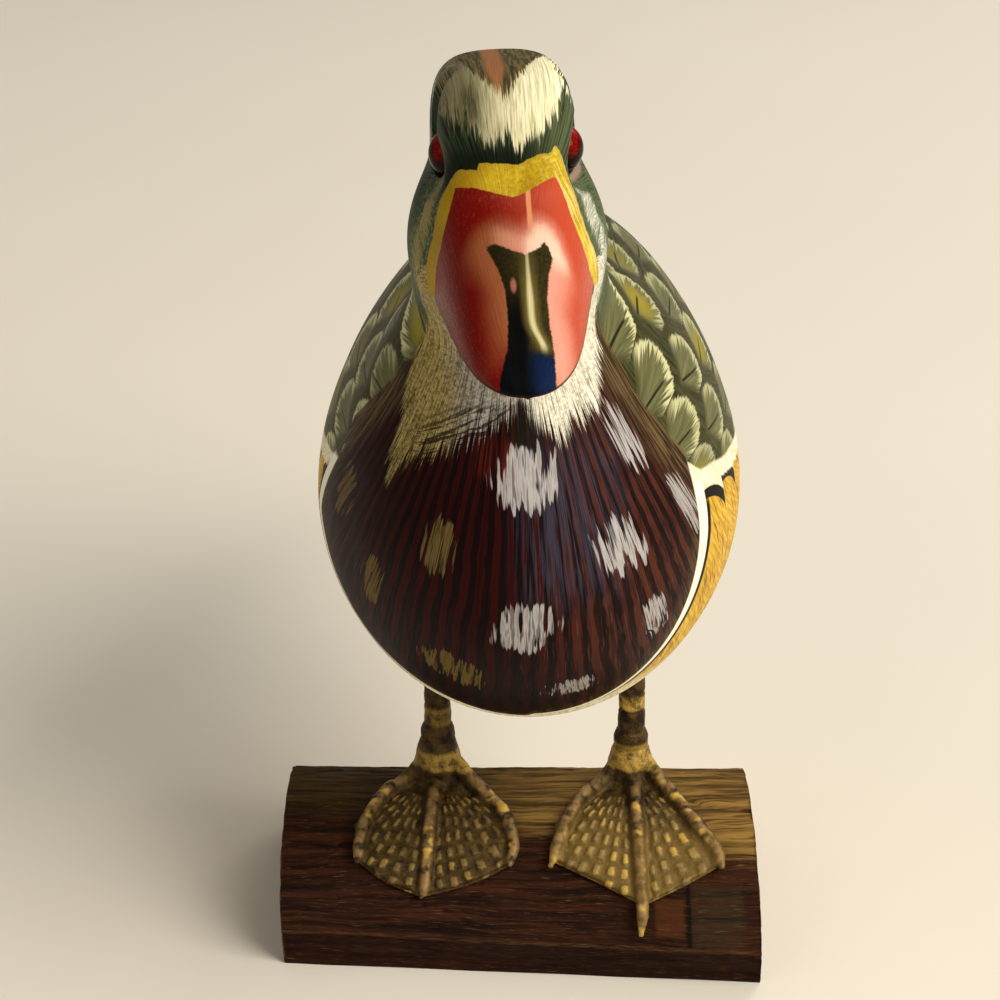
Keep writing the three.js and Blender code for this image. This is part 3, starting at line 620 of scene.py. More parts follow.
class Coat:
    """One material, written as formulas. Every method returns fields."""

    def __init__(self, name):
        self.material = bpy.data.materials.new(name)
        self.material.use_nodes = True
        self.tree = self.material.node_tree
        self.shader = self.tree.nodes["Principled BSDF"]

    def node(self, kind, **settings):
        node = self.tree.nodes.new(kind)
        for key, value in settings.items():
            setattr(node, key, value)
        return node

    def put(self, socket, value):
        """Links a field into a socket, or sets a plain value on it."""
        if isinstance(value, Field):
            self.tree.links.new(value.socket, socket)
            return
        if socket.type == "RGBA" and len(value) == 3:
            value = (*value, 1.0)
        socket.default_value = value

    def math(self, operation, *values, clamp=False):
        node = self.node("ShaderNodeMath", operation=operation, use_clamp=clamp)
        for socket, value in zip(node.inputs, values):
            self.put(socket, value)
        return Field(self, node.outputs[0])

    def least(self, *values):
        result = values[0]
        for value in values[1:]:
            result = self.math("MINIMUM", result, value)
        return result

    def most(self, *values):
        result = values[0]
        for value in values[1:]:
            result = self.math("MAXIMUM", result, value)
        return result

    def step(self, start, stop, value):
        """0 below start, 1 above stop, and smooth between them. Start may be the higher one."""
        node = self.node("ShaderNodeMapRange", interpolation_type="SMOOTHSTEP", clamp=True)
        turned = not isinstance(start, Field) and not isinstance(stop, Field) and start > stop
        if turned:
            start, stop = stop, start
        limits = (start, stop, 1.0, 0.0) if turned else (start, stop, 0.0, 1.0)
        self.put(node.inputs[0], value)
        for socket, limit in zip(node.inputs[1:5], limits):
            self.put(socket, limit)
        return Field(self, node.outputs[0])

    def kept(self, name):
        """The three numbers of an attribute as fields."""
        node = self.node("ShaderNodeAttribute", attribute_name=name, attribute_type="GEOMETRY")
        parts = self.node("ShaderNodeSeparateXYZ")
        self.tree.links.new(node.outputs["Vector"], parts.inputs[0])
        return [Field(self, parts.outputs[k]) for k in range(3)]

    def place(self):
        """The point of the surface in millimetres, in the object's own frame."""
        node = self.node("ShaderNodeTexCoord")
        parts = self.node("ShaderNodeSeparateXYZ")
        self.tree.links.new(node.outputs["Object"], parts.inputs[0])
        return [Field(self, parts.outputs[k]) * (1 / MM) for k in range(3)]

    def vector(self, x, y, z):
        node = self.node("ShaderNodeCombineXYZ")
        for socket, value in zip(node.inputs, (x, y, z)):
            self.put(socket, value)
        return Field(self, node.outputs[0])

    def noise(self, x, y, z, detail=2.0, roughness=0.5, distortion=0.0):
        """Soft noise around 0.5. The three inputs are scaled so that a lump is about 1 across."""
        node = self.node("ShaderNodeTexNoise", noise_dimensions="3D")
        self.put(node.inputs["Vector"], self.vector(x, y, z))
        node.inputs["Scale"].default_value = 1.0
        node.inputs["Detail"].default_value = detail
        node.inputs["Roughness"].default_value = roughness
        node.inputs["Distortion"].default_value = distortion
        return Field(self, node.outputs[0])

    def chance(self, x, y):
        """An even random number for each whole x and y."""
        node = self.node("ShaderNodeTexWhiteNoise", noise_dimensions="2D")
        self.put(node.inputs["Vector"], self.vector(x, y, 0.0))
        return Field(self, node.outputs[0])

    def blend(self, share, under, over):
        """The colour under, covered with the colour over by a share."""
        node = self.node("ShaderNodeMix", data_type="RGBA", clamp_factor=True)
        self.put(node.inputs[0], share)
        self.put(node.inputs[6], under)
        self.put(node.inputs[7], over)
        return Field(self, node.outputs[2])

    def bump(self, height, depth):
        """Fine relief that is too small for the mesh. Depth is in millimetres."""
        node = self.node("ShaderNodeBump")
        node.inputs["Strength"].default_value = 1.0
        node.inputs["Distance"].default_value = depth * MM
        self.put(node.inputs["Height"], height)
        self.tree.links.new(node.outputs[0], self.shader.inputs["Normal"])


def from_hex(code):
    """A six digit colour code as linear red, green and blue."""
    parts = [int(code[k : k + 2], 16) / 255 for k in (0, 2, 4)]
    return tuple(p / 12.92 if p <= 0.04045 else ((p + 0.055) / 1.055) ** 2.4 for p in parts)


def colour(name, description, code):
    return FloatVectorProperty(
        name=name, description=description, subtype="COLOR", size=3, min=0, max=1, default=from_hex(code)
    )


# Casting the duck's surface


def duck_holes(x, y, z):
    """Roughly the distance outside the sockets of the eyes and of the legs."""
    eye = np.sqrt((np.abs(x) - EYE_AT[0]) ** 2 + (y - EYE_AT[1]) ** 2 + (z - EYE_AT[2]) ** 2)
    hole = eye - EYE_RADIUS - GAP
    for foot in FEET:
        at_x, at_y = stand_turned(foot["ankle"][0], -foot["ankle"][1])
        shaft = np.hypot(x + DUCK_SHIFT - at_x, y - at_y) - LEG_RADIUS - GAP
        hole = np.minimum(hole, np.maximum(shaft, z - belly_height(foot["ankle"]) - LEG_SOCKET_DEPTH))
    return hole


def eye_hollow(x, y, z):
    """Roughly the distance outside the shallow hollow before each eye."""
    across, forward, up = EYE_HOLLOW["radii"]
    off = np.where(x > 0, EYE_HOLLOW["left"][0] - x, EYE_HOLLOW["right"][0] + x) / across
    ahead = (y - EYE_HOLLOW["left"][1]) / forward
    above = (z - EYE_HOLLOW["left"][2]) / up
    return (np.sqrt(off**2 + ahead**2 + above**2) - 1) * across


def carved_form(x, y, z):
    hollowed = -smooth_min(-duck_form(x, y, z), eye_hollow(x, y, z), EYE_HOLLOW_BLEND)
    return np.maximum(hollowed, -duck_holes(x, y, z))


def belly_height(ankle):
    """The belly's height over an ankle, where the leg goes in."""
    x, y = stand_turned(ankle[0], -ankle[1])
    low, high = ANKLE_HEIGHT, SPINE[0][1]
    for _ in range(HALVINGS):
        middle = (low + high) / 2
        outside = duck_form(np.array([x - DUCK_SHIFT]), np.array([y]), np.array([middle]))[0] > 0
        low, high = (middle, high) if outside else (low, middle)
    return low


def stand_turned(x, y):
    """A place in the log's own frame, which is turned under the duck."""
    turn = np.radians(LOG_TURN)
    return x * np.cos(turn) - y * np.sin(turn), x * np.sin(turn) + y * np.cos(turn)


def cast_rings(stations, angles, form):
    """Points where rays from the spine leave the form: one ring for each station."""
    spine = spine_point(stations)
    up = ring_up(stations, spine)
    rays = np.zeros((len(stations), len(angles), 3))
    rays[..., 0] = np.sin(angles)
    rays[..., 1] = np.cos(angles) * up[:, :1]
    rays[..., 2] = np.cos(angles) * up[:, 1:]
    starts = np.zeros_like(rays)
    starts[..., 1:] = spine[:, None]
    starts, rays = starts.reshape(-1, 3), rays.reshape(-1, 3)
    reach = np.zeros(len(rays))
    inside = np.arange(len(rays))
    while len(inside):
        ahead = starts[inside] + rays[inside] * (reach[inside] + SEARCH_STEP)[:, None]
        still = form(*ahead.T) < 0
        inside = inside[still]
        reach[inside] += SEARCH_STEP
    past = reach + SEARCH_STEP
    for _ in range(HALVINGS):
        middle = (reach + past) / 2
        inside = form(*(starts + rays * middle[:, None]).T) < 0
        reach = np.where(inside, middle, reach)
        past = np.where(inside, past, middle)
    return (starts + rays * reach[:, None]).reshape(len(stations), len(angles), 3), rays.reshape(
        len(stations), len(angles), 3
    )


def duck_stations():
    stops, counts = zip(*DUCK_RING_STOPS)
    return np.interp(np.arange(sum(counts) + 1), np.cumsum(counts), stops)


# Log


def log_size(x):
    share = (x / LOG_HALF_LENGTH + 1) / 2
    return mix(*LOG_HALF_DEPTHS, share), mix(*LOG_RISES, share)


def on_log(x, girth, lift):
    """Points over the log at a girth length forwards of its crest, and the way out of the log."""
    half_depth, rise = log_size(x)
    angle = girth / LOG_GIRTH_RADIUS
    out = unit(np.stack([0 * x, -np.sin(angle) / half_depth, np.cos(angle) / rise], -1))
    point = np.stack([x, -half_depth * np.sin(angle), LOG_WIDEST_HEIGHT + rise * np.cos(angle)], -1)
    return point + out * np.asarray(lift)[..., None], out


# Where the paint lies


def outline_distance(u, v, outline):
    """How far points are inside a closed outline, negative outside it."""
    corners = np.array(outline, float)
    nearest = np.full(u.shape, np.inf)
    inside = np.zeros(u.shape, bool)
    for (a, b), (c, d) in zip(corners, np.roll(corners, -1, 0)):
        share = np.clip(((u - a) * (c - a) + (v - b) * (d - b)) / ((c - a) ** 2 + (d - b) ** 2), 0, 1)
        nearest = np.minimum(nearest, np.hypot(u - mix(a, c, share), v - mix(b, d, share)))
        crosses = (b > v) != (d > v)
        if b != d:
            inside ^= crosses & (u < (c - a) * (v - b) / (d - b) + a)
    return np.where(inside, nearest, -nearest)


def line_distance(points, line):
    """The distance from points to a line through many points, in space."""
    tree_points = line.reshape(-1, 3)
    nearest = np.full(points.shape[:-1], np.inf)
    for spot in tree_points:
        nearest = np.minimum(nearest, ((points - spot) ** 2).sum(-1))
    return np.sqrt(nearest)


def on_grid(grid, stations, angles, at_station, at_angle):
    """The grid's point at a station and an angle in degrees."""
    row = np.interp(at_station, stations, np.arange(len(stations)))
    column = (np.radians(at_angle) - angles[0]) / (angles[1] - angles[0])
    r0 = np.clip(np.floor(row).astype(int), 0, len(stations) - 2)
    c0 = np.floor(column).astype(int)
    fr, fc = (row - r0)[:, None], (column - c0)[:, None]
    c1 = (c0 + 1) % len(angles)
    c0 = c0 % len(angles)
    return mix(mix(grid[r0, c0], grid[r0, c1], fc), mix(grid[r0 + 1, c0], grid[r0 + 1, c1], fc), fr)


def past_edge(grid, stations, angles, back, edge):
    """How far points lie past an edge that crosses every angle, towards the bill."""
    degrees, stops = (np.array(column, float) for column in zip(*edge))
    at_angle = np.arange(-180, 180, 0.75)
    line = on_grid(grid, stations, angles, np.interp(at_angle, degrees, stops), at_angle)
    far = line_distance(grid, line)
    return np.where(stations[:, None] > np.interp(back, degrees, stops), far, -far)


def belly_degrees(back):
    """Degrees from the belly's middle instead of the back's, towards the same side."""
    return np.where(back < 0, -180 - back, 180 - back)


def tuft_marks(grid, stations, angles):
    """For each point: how far along and across the nearest tuft it lies, its whiteness, and how far off it is."""
    marks = np.zeros_like(grid)
    nearest = np.full(grid.shape[:2], np.inf)
    down = -np.gradient(grid, axis=0)
    beside = np.roll(grid, -1, 1) - np.roll(grid, 1, 1)
    for *at, half_length, half_width, white in TUFTS:
        offset = grid - at
        far = (offset**2).sum(-1)
        r, c = np.unravel_index(np.argmin(far), far.shape)
        along = unit(down[r, c])
        across = unit(beside[r, c] - along * (beside[r, c] @ along))
        mark = np.stack([offset @ along / half_length, offset @ across / half_width, white + 0 * far], -1)
        spread = mark[..., 0] ** 2 + mark[..., 1] ** 2 + np.where(far > 20**2, 99, 0)
        closer = spread < nearest
        marks[closer] = mark[closer]
        nearest = np.minimum(nearest, spread)
    return marks, nearest


def paint_marks(grid, stations, angles):
    """All that the paint needs to know of each point, by the name of its attribute."""
    x, y, z = np.moveaxis(grid, -1, 0)
    back = np.degrees(angles)[None] + 0 * x
    belly = belly_degrees(back)
    at = stations[:, None] + 0 * x
    scale = np.array(THROAT_SCALE)
    throat = outline_distance(belly * scale[0], at * scale[1], np.array(THROAT_PATCH) * scale)
    duck_left = x > 0
    edge = np.where(duck_left, np.interp(at, *zip(*BREAST_EDGE_LEFT)), np.interp(at, *zip(*BREAST_EDGE_RIGHT)))
    spine = spine_point(stations)
    radius = np.hypot(x, np.hypot(y - spine[:, :1], z - spine[:, 1:]))
    shoulder = np.radians(edge - np.abs(belly)) * radius
    front = np.where(duck_left, np.interp(z, *zip(*FLANK_FRONT_LEFT)), np.interp(z, *zip(*FLANK_FRONT_RIGHT))) - y
    front = np.where(at > 8.9, 30, front)
    outer = past_edge(grid, stations, angles, back, BAND_OUTER_EDGE)
    inner = past_edge(grid, stations, angles, back, BAND_INNER_EDGE)
    patch = outline_distance(x, y, BILL_PATCH) - np.where(z < mouth_height(y) - 1.5, 9, 0)
    around_body = np.degrees(np.arctan2(np.abs(x), z - FEATHER_AXIS_HEIGHT)) / FEATHER_ANGLE
    row = curve_through(FEATHER_ROWS, 1)(y)
    wing = np.minimum(wing_distance(x, y, z), z - np.interp(y, *zip(*WING_PAINT_EDGE)))
    crown = y - np.interp(x, *zip(*CROWN_BROWN_EDGE))
    ivory = z - np.interp(x, *zip(*IVORY_LOWER_EDGE))
    tufts, tuft_spread = tuft_marks(grid, stations, angles)
    eye = np.sqrt(sum((v - c) ** 2 for v, c in zip((np.abs(x), y, z), EYE_AT))) - EYE_RADIUS
    return {
        "carving": grid,
        "around": np.stack([np.cos(np.radians(back)), np.sin(np.radians(back)), at], -1),
        "edges": np.stack([throat, shoulder, front], -1),
        "face": np.stack([outer, inner, patch], -1),
        "feathers": np.stack([around_body, row, wing], -1),
        "tufts": tufts,
        "near": np.stack([np.minimum(tuft_spread, TUFT_REACH), eye, np.abs(back)], -1),
        "crown": np.stack([crown, ivory, z - mouth_height(y)], -1),
    }


# Soft noise for relief in the mesh


def lattice_noise(x, y, seed):
    """Soft noise from -1 to 1. A lump is about 1 across, and the same seed gives the same lumps."""

    def corner(i, j):
        mixed = (i * 374761393 + j * 668265263 + seed * 974634777) & 0xFFFFFFFF
        mixed = ((mixed ^ (mixed >> 13)) * 1274126177) & 0xFFFFFFFF
        return ((mixed ^ (mixed >> 16)) & 0xFFFF) / 32767.5 - 1

    i, j = np.floor(x).astype(np.int64), np.floor(y).astype(np.int64)
    u, v = x - i, y - j
    u, v = u * u * (3 - 2 * u), v * v * (3 - 2 * v)
    near = mix(corner(i, j), corner(i + 1, j), u)
    far = mix(corner(i, j + 1), corner(i + 1, j + 1), u)
    return mix(near, far, v)


def rough_noise(x, y, seed, layers=3):
    return sum(lattice_noise(x * 2**k, y * 2**k, seed + k) * 0.5**k for k in range(layers))


def ridge(distance, half_width):
    """1 on a line, and smoothly 0 from a half width off it."""
    return smooth_step(half_width, 0, np.abs(distance))


def pushed_out(piece, heights):
    """Moves each vertex along the surface's normal by its height in millimetres."""
    count = len(piece.data.vertices)
    normals, points = np.zeros(count * 3, np.float32), np.zeros(count * 3, np.float32)
    piece.data.vertices.foreach_get("normal", normals)
    piece.data.vertices.foreach_get("co", points)
    moved = points.reshape(-1, 3) + normals.reshape(-1, 3) * np.asarray(heights)[:, None] * MM
    piece.data.vertices.foreach_set("co", moved.astype(np.float32).ravel())
    piece.data.update()


# Paint


def fan_feathers(coat, paint, tone, look, marks):
    """Rows of fan feathers, each with a ragged pale fringe and a short dark quill."""
    around, row, side = marks
    for rows_before in (0.0, 1.0):
        this_row = coat.math("FLOOR", row) - rows_before
        shift = coat.math("FRACT", this_row * 0.5)
        across = around - FAN_OFFSET - shift
        column = coat.math("ROUND", across)
        chance = coat.chance(column + side * 31.0, this_row)
        other = coat.chance(column + 7.3, this_row + side * 17.0)
        along = row - this_row + (chance - 0.5) * 0.2
        beside = (across - column) + (other - 0.5) * 0.16
        width = 0.5 + (chance - 0.5) * 0.1
        wedge = (0.06 + along * 1.0) - coat.math("ABSOLUTE", beside)
        reach = coat.math("SQRT", (along - 0.5) * (along - 0.5) * 0.85 + beside * beside)
        turn = coat.math("ARCTAN2", beside, along + 0.16)
        barbs = coat.noise(turn * 12, chance * 40 + side * 9, along * 1.1, detail=4, roughness=0.65)
        hairs = coat.noise(turn * 34, other * 60 + side * 5, along * 2.0, detail=2, roughness=0.6)
        rim = width - reach
        inside = coat.least(wedge, rim) + (hairs - 0.5) * 0.16 + (barbs - 0.5) * 0.1
        fan = coat.step(-0.02, 0.03, inside)
        vane = coat.blend(coat.step(0.3, 0.75, barbs * 0.6 + hairs * 0.4), look.feather_green, look.feather_olive)
        vane = coat.blend(coat.step(0.56, 0.7, hairs) * 0.55, vane, look.feather_dark)
        warm = coat.step(0.5, 0.85, other) * coat.step(0.42, 0.08, reach)
        vane = coat.blend(warm * 0.8, vane, look.feather_gold)
        fringe = coat.step(0.2, 0.03, rim + (hairs - 0.5) * 0.62 + (barbs - 0.5) * 0.4) * coat.step(0.1, 0.5, along)
        vane = coat.blend(fringe * (0.35 + chance * 0.5), vane, look.feather_fringe)
        vane = coat.blend(coat.step(0.24, 0.02, wedge + (hairs - 0.5) * 0.2) * 0.75, vane, look.feather_dark)
        bend = (along - 0.2) * (other - 0.62) * 0.5
        quill = coat.step(0.036, 0.014, coat.math("ABSOLUTE", beside - 0.03 + bend) + along * 0.012)
        quill = quill * coat.step(0.06, 0.14, along) * coat.step(0.86, 0.7, along + other * 0.2)
        vane = coat.blend(quill * 0.95, vane, look.quill)
        paint = coat.blend(fan, paint, vane)
    return paint


def back_and_wings(coat, look, marks, streaks):
    around, row, wing, side, py = marks
    broad, fine, hair = streaks
    paint = coat.blend(coat.step(0.35, 0.7, fine), look.feather_dark, from_hex("4E4E2E"))
    paint = fan_feathers(coat, paint, fine, look, (around, row, side))
    bronze = coat.blend(coat.step(0.35, 0.65, fine), from_hex("15140C"), from_hex("453C22"))
    paint = coat.blend(coat.step(1.05, 0.42, around + (fine - 0.5) * 0.7) * 0.8, paint, bronze)
    long_feathers = coat.blend(coat.step(0.4, 0.62, fine), from_hex("10201C"), from_hex("4A4C36"))
    edges = coat.math("ABSOLUTE", coat.math("FRACT", around * 1.55 + broad * 0.12) - 0.5)
    long_feathers = coat.blend(coat.step(0.05, 0.02, edges) * 0.7, long_feathers, look.feather_fringe)
    return coat.blend(coat.step(30, 52, py + (broad - 0.5) * 12) * 0.9, paint, long_feathers)


def flank_paint(coat, look, marks, streaks):
    """Cream under the wing, then gold feathers tipped with black crescents, and a cream belly."""
    px, py, pz, wing = marks
    broad, fine, hair = streaks
    lines = coat.noise(py * 0.9 + pz * 0.36, pz * 0.1, px * 0.2, detail=4, roughness=0.7)
    gold = coat.blend(coat.step(0.3, 0.75, fine), look.flank_gold, look.flank_light)
    gold = coat.blend(coat.step(0.55, 0.63, lines) * 0.75, gold, from_hex("6A420F"))
    cream = coat.blend(coat.step(0.3, 0.7, fine), from_hex("DCD0A2"), look.flank_cream)
    flank = cream
    shifted = (py - CRESCENT_START) * (1 / CRESCENT_STEP)
    up = pz - CRESCENT_HEIGHT
    for before in (1.0, 0.0):
        local = (shifted - (coat.math("FLOOR", shifted) - before)) * CRESCENT_STEP
        outer_round = coat.math("SQRT", (local - 2.2) * (local - 2.2) + up * up)
        inner_round = coat.math("SQRT", (local - 0.9) * (local - 0.9) + (up + 1.5) * (up + 1.5))
        panel = coat.most(coat.step(CRESCENT_RADIUS, CRESCENT_RADIUS - 0.2, outer_round), coat.step(1.0, -1.0, up))
        flank = coat.blend(panel, flank, gold)
        moon = coat.step(CRESCENT_RADIUS + 0.1, CRESCENT_RADIUS - 0.15, outer_round + (hair - 0.5) * 0.5)
        moon = moon * coat.step(CRESCENT_RADIUS - 0.5, CRESCENT_RADIUS - 0.25, inner_round) * coat.step(-1.0, 2.0, up)
        flank = coat.blend(moon, flank, look.line_black)
    flank = coat.blend(coat.step(-3.6, -2.9, wing + (fine - 0.5) * 1.2), flank, cream)
    flank = coat.blend(coat.step(79, 71, pz + (fine - 0.5) * 7), flank, cream)
    under_tail = coat.blend(coat.step(0.4, 0.6, fine), from_hex("2A1B16"), from_hex("4A3024"))
    rear = py + up * 0.35 + (hair - 0.5) * 1.6
    flank = coat.blend(coat.step(44, 44.6, rear), flank, look.line_black)
    flank = coat.blend(coat.step(45.8, 46.4, rear), flank, look.flank_cream)
    return coat.blend(coat.step(49.4, 50.2, rear + (fine - 0.5) * 1.5), flank, under_tail)


def breast_paint(coat, look, marks, streaks):
    px, pz, back_angle, shoulder, front, tuft_marks, tuft_spread = marks
    along_tuft, across_tuft, tuft_white = tuft_marks
    broad, fine, hair, cloud = streaks
    wine = coat.blend(coat.step(-2, 16, px + (broad - 0.5) * 12), look.breast_wine, look.breast_brown)
    wine = coat.blend(coat.step(0.45, 0.7, cloud) * 0.7, wine, from_hex("260604"))
    stripes = coat.math("FRACT", back_angle * (1 / STRIPE_DEGREES) + (broad - 0.5) * 0.3 + (cloud - 0.5) * 0.8)
    striped = coat.step(0.3, 0.2, abs(stripes - 0.5)) * coat.step(0.22, 0.4, fine)
    breast = coat.blend(coat.step(0.52, 0.6, broad * 0.6 + fine * 0.4) * 0.5, wine, look.breast_streak)
    breast = coat.blend(striped * 0.85, breast, look.breast_streak)
    breast = coat.blend(coat.step(0.58, 0.72, hair) * coat.step(-10, 10, px) * 0.45, breast, from_hex("6A4636"))
    # Painted shade: the breast darkens towards its underside.
    breast = coat.blend(coat.step(94, 76, pz + (cloud - 0.5) * 10) * 0.6, breast, from_hex("0C0303"))
    # A painted reflection of the sky: a soft bluish sheen on the duck's left of the breast's middle.
    painted_sky_sheen = coat.step(13, 5, abs(px - 8.5)) * coat.step(98, 110, pz) * coat.step(137, 128, pz)
    breast = coat.blend(painted_sky_sheen * coat.step(0.42, 0.6, fine) * 0.7, breast, from_hex("3C3C4C"))
    ruddy = coat.step(6, 2, abs(px + 4.5)) * coat.step(127, 130, pz) * coat.step(136, 133, pz)
    breast = coat.blend(ruddy * coat.step(0.45, 0.6, fine) * 0.7, breast, from_hex("5E1C10"))
    notch = coat.step(4.5, 1.5, abs(px - 1.0)) * coat.step(130, 134, pz) * coat.step(0.3, 0.5, hair)
    breast = coat.blend(notch * 0.85, breast, from_hex("16140C"))
    outer_brown = coat.step(9, 2, coat.least(shoulder, front + 4.0) + (broad - 0.5) * 6)
    brown = coat.blend(coat.step(0.4, 0.66, fine), from_hex("241A0E"), from_hex("7A6340"))
    breast = coat.blend(outer_brown * 0.8, breast, brown)
    lean = across_tuft + along_tuft * 0.12 * (broad - 0.5)
    low_down = 1.0 + coat.step(92.5, 91.0, pz) * 1.4
    stroke = coat.noise(lean * low_down * 3.4 + tuft_white * 37, along_tuft * 0.55, tuft_white * 11, detail=2, roughness=0.6)
    wisps = coat.noise(lean * 8.5 + tuft_white * 91, along_tuft * 0.8, tuft_white * 5, detail=2, roughness=0.6)
    ends = along_tuft * along_tuft * abs(along_tuft)
    body = 0.55 - ends - across_tuft * across_tuft * 0.7 + (stroke - 0.5) * 3.6 + (wisps - 0.5) * 2.4
    tuft = coat.step(-0.05, 0.3, body) * coat.step(1.9, 1.5, tuft_spread)
    tuft = tuft * (0.3 + coat.step(0.4, 0.52, wisps) * 0.7)
    colour_of_tuft = coat.blend(coat.step(0.3, 0.7, tuft_white), look.tuft_olive, look.tuft_white)
    colour_of_tuft = coat.blend(coat.step(0.4, 0.7, wisps) * 0.45, colour_of_tuft, look.breast_brown)
    return coat.blend(tuft * (0.42 + tuft_white * 0.4), breast, colour_of_tuft)


def head_paint(coat, look, marks, streaks):
    px, py, pz, outer, crown, ivory, eye = marks
    fine, hair, speckle, cloud = streaks
    green = coat.blend(coat.step(0.35, 0.65, fine), look.head_dark, look.head_green)
    green = coat.blend(coat.step(0.5, 0.75, cloud) * 0.5, green, from_hex("4A5240"))
    cheek_green = coat.blend(coat.step(0.4, 0.7, speckle), from_hex("2E3A22"), from_hex("76845E"))
    paint = coat.blend(coat.step(186, 180, pz) * coat.step(-13, -9, outer) * 0.85, green, cheek_green)
    short = coat.noise(pz * 1.5 + outer * 0.9, outer * 0.12, py * 0.1, detail=3, roughness=0.65)
    spur_inner = coat.step(-1.6, -2.8, outer + (short - 0.5) * 7)
    spur_outer = coat.step(-9.0, -6.5, outer + (hair - 0.5) * 3.0)
    spur = spur_inner * spur_outer * coat.step(184, 179, pz) * coat.step(0.38, 0.52, short * 0.8 + hair * 0.2)
    # The spur's cream turns olive on the duck's right: painted shade with a warm painted reflection.
    pale = coat.blend(coat.step(-2, 2, px), from_hex("8C7E46"), from_hex("F4F1E0"))
    paint = coat.blend(spur, paint, pale)
    # Pale stripes that run back over the eye and along the crest
    ragged = (hair - 0.5) * 2.4
    forward = coat.step(-34, -26, py)
    over_eye = coat.step(1.5, 0.5, abs(pz - 192.5 - (py + 30) * 0.32) + ragged) * forward
    behind_eye = coat.step(1.3, 0.4, abs(pz - 181.5 - (py + 30) * 0.55) + ragged) * forward
    paint = coat.blend(coat.most(over_eye, behind_eye) * 0.85, paint, from_hex("DAD5B4"))
    # Ivory strokes down the forehead from the brown crown
    streaks_down = coat.noise(px * 2.6, pz * 0.14 + py * 0.05, 7.0, detail=3, roughness=0.65)
    strokes = coat.noise(px * 1.15, pz * 0.07 + py * 0.03, 0.0, detail=3, roughness=0.6)
    over_temple = coat.step(198.6, 196.8, pz) * coat.step(-50, -45, py)
    streaks_down = streaks_down + (hair - streaks_down) * over_temple
    strokes = strokes + (hair - strokes) * over_temple
    stroke_end = ivory + (strokes - 0.5) * 14 + (streaks_down - 0.5) * 7
    share = coat.step(-0.4, 1.4, stroke_end) * coat.step(-8, -20, py + (strokes - 0.5) * 20)
    share = share * coat.step(0.26, 0.46, streaks_down + stroke_end * 0.03)
    tone = coat.blend(coat.step(0.3, 0.65, streaks_down), from_hex("BDB482"), look.ivory)
    # Painted shade: on the duck's right the ivory turns olive, and darker in some strokes.
    painted_shade = coat.step(3, -8, px + (strokes - 0.5) * 14)
    tone = coat.blend(painted_shade * 0.8, tone, from_hex("6A5E32"))
    tone = coat.blend(painted_shade * coat.step(0.5, 0.6, strokes) * 0.7, tone, look.head_dark)
    blotch = coat.step(2.6, 0.8, abs(px + 6.5)) * coat.step(4.5, 1.0, abs(pz - 196.6)) * coat.step(0.35, 0.5, streaks_down)
    tone = coat.blend(blotch * 0.75, tone, from_hex("2C2812"))
    paint = coat.blend(share, paint, tone)
    olive = coat.blend(coat.step(0.4, 0.6, fine), from_hex("33301A"), from_hex("6B5B30"))
    crest_side = coat.step(-5, -9, px) * coat.step(-28, -16, py) * coat.step(181, 191, pz)
    paint = coat.blend(crest_side * coat.step(0.36, 0.56, fine) * 0.8, paint, from_hex("77744A"))
    middle = abs(px + 1.6) + (fine - 0.5) * 1.6 + coat.step(-42, -51, py) * 1.0
    crown_tone = coat.blend(coat.step(2.2, 1.1, middle), olive, look.crown)
    on_crown = coat.step(-0.8, 0.8, crown + (streaks_down - 0.5) * 12 + (hair - 0.5) * 3)
    on_crown = on_crown * coat.step(190, 193, pz) * coat.step(11.0, 8.5, abs(px))
    paint = coat.blend(on_crown, paint, crown_tone)
    dark_brow = coat.step(5.5, 1.0, 0.0 - outer) * coat.step(178, 183, pz) * (1.0 - share)
    paint = coat.blend(dark_brow * coat.step(10, 0, px) * 0.9, paint, from_hex("0A1208"))
    grey_brow = coat.step(1, 8, px + (strokes - 0.5) * 6) * coat.step(200, 195, pz) * (1.0 - share)
    paint = coat.blend(grey_brow * coat.step(0.3, 0.6, fine) * coat.step(-28, -36, py) * 0.7, paint, from_hex("59633F"))
    lid = coat.step(2.6, 1.4, eye + (hair - 0.5) * 0.8) * coat.step(-1, 1, px)
    paint = coat.blend(lid * 0.7, paint, from_hex("A58A78"))
    # A dark ring round each eye: painted shade where the wood meets the glass in the socket.
    return coat.blend(coat.step(0.9, 0.5, eye), paint, from_hex("120605"))


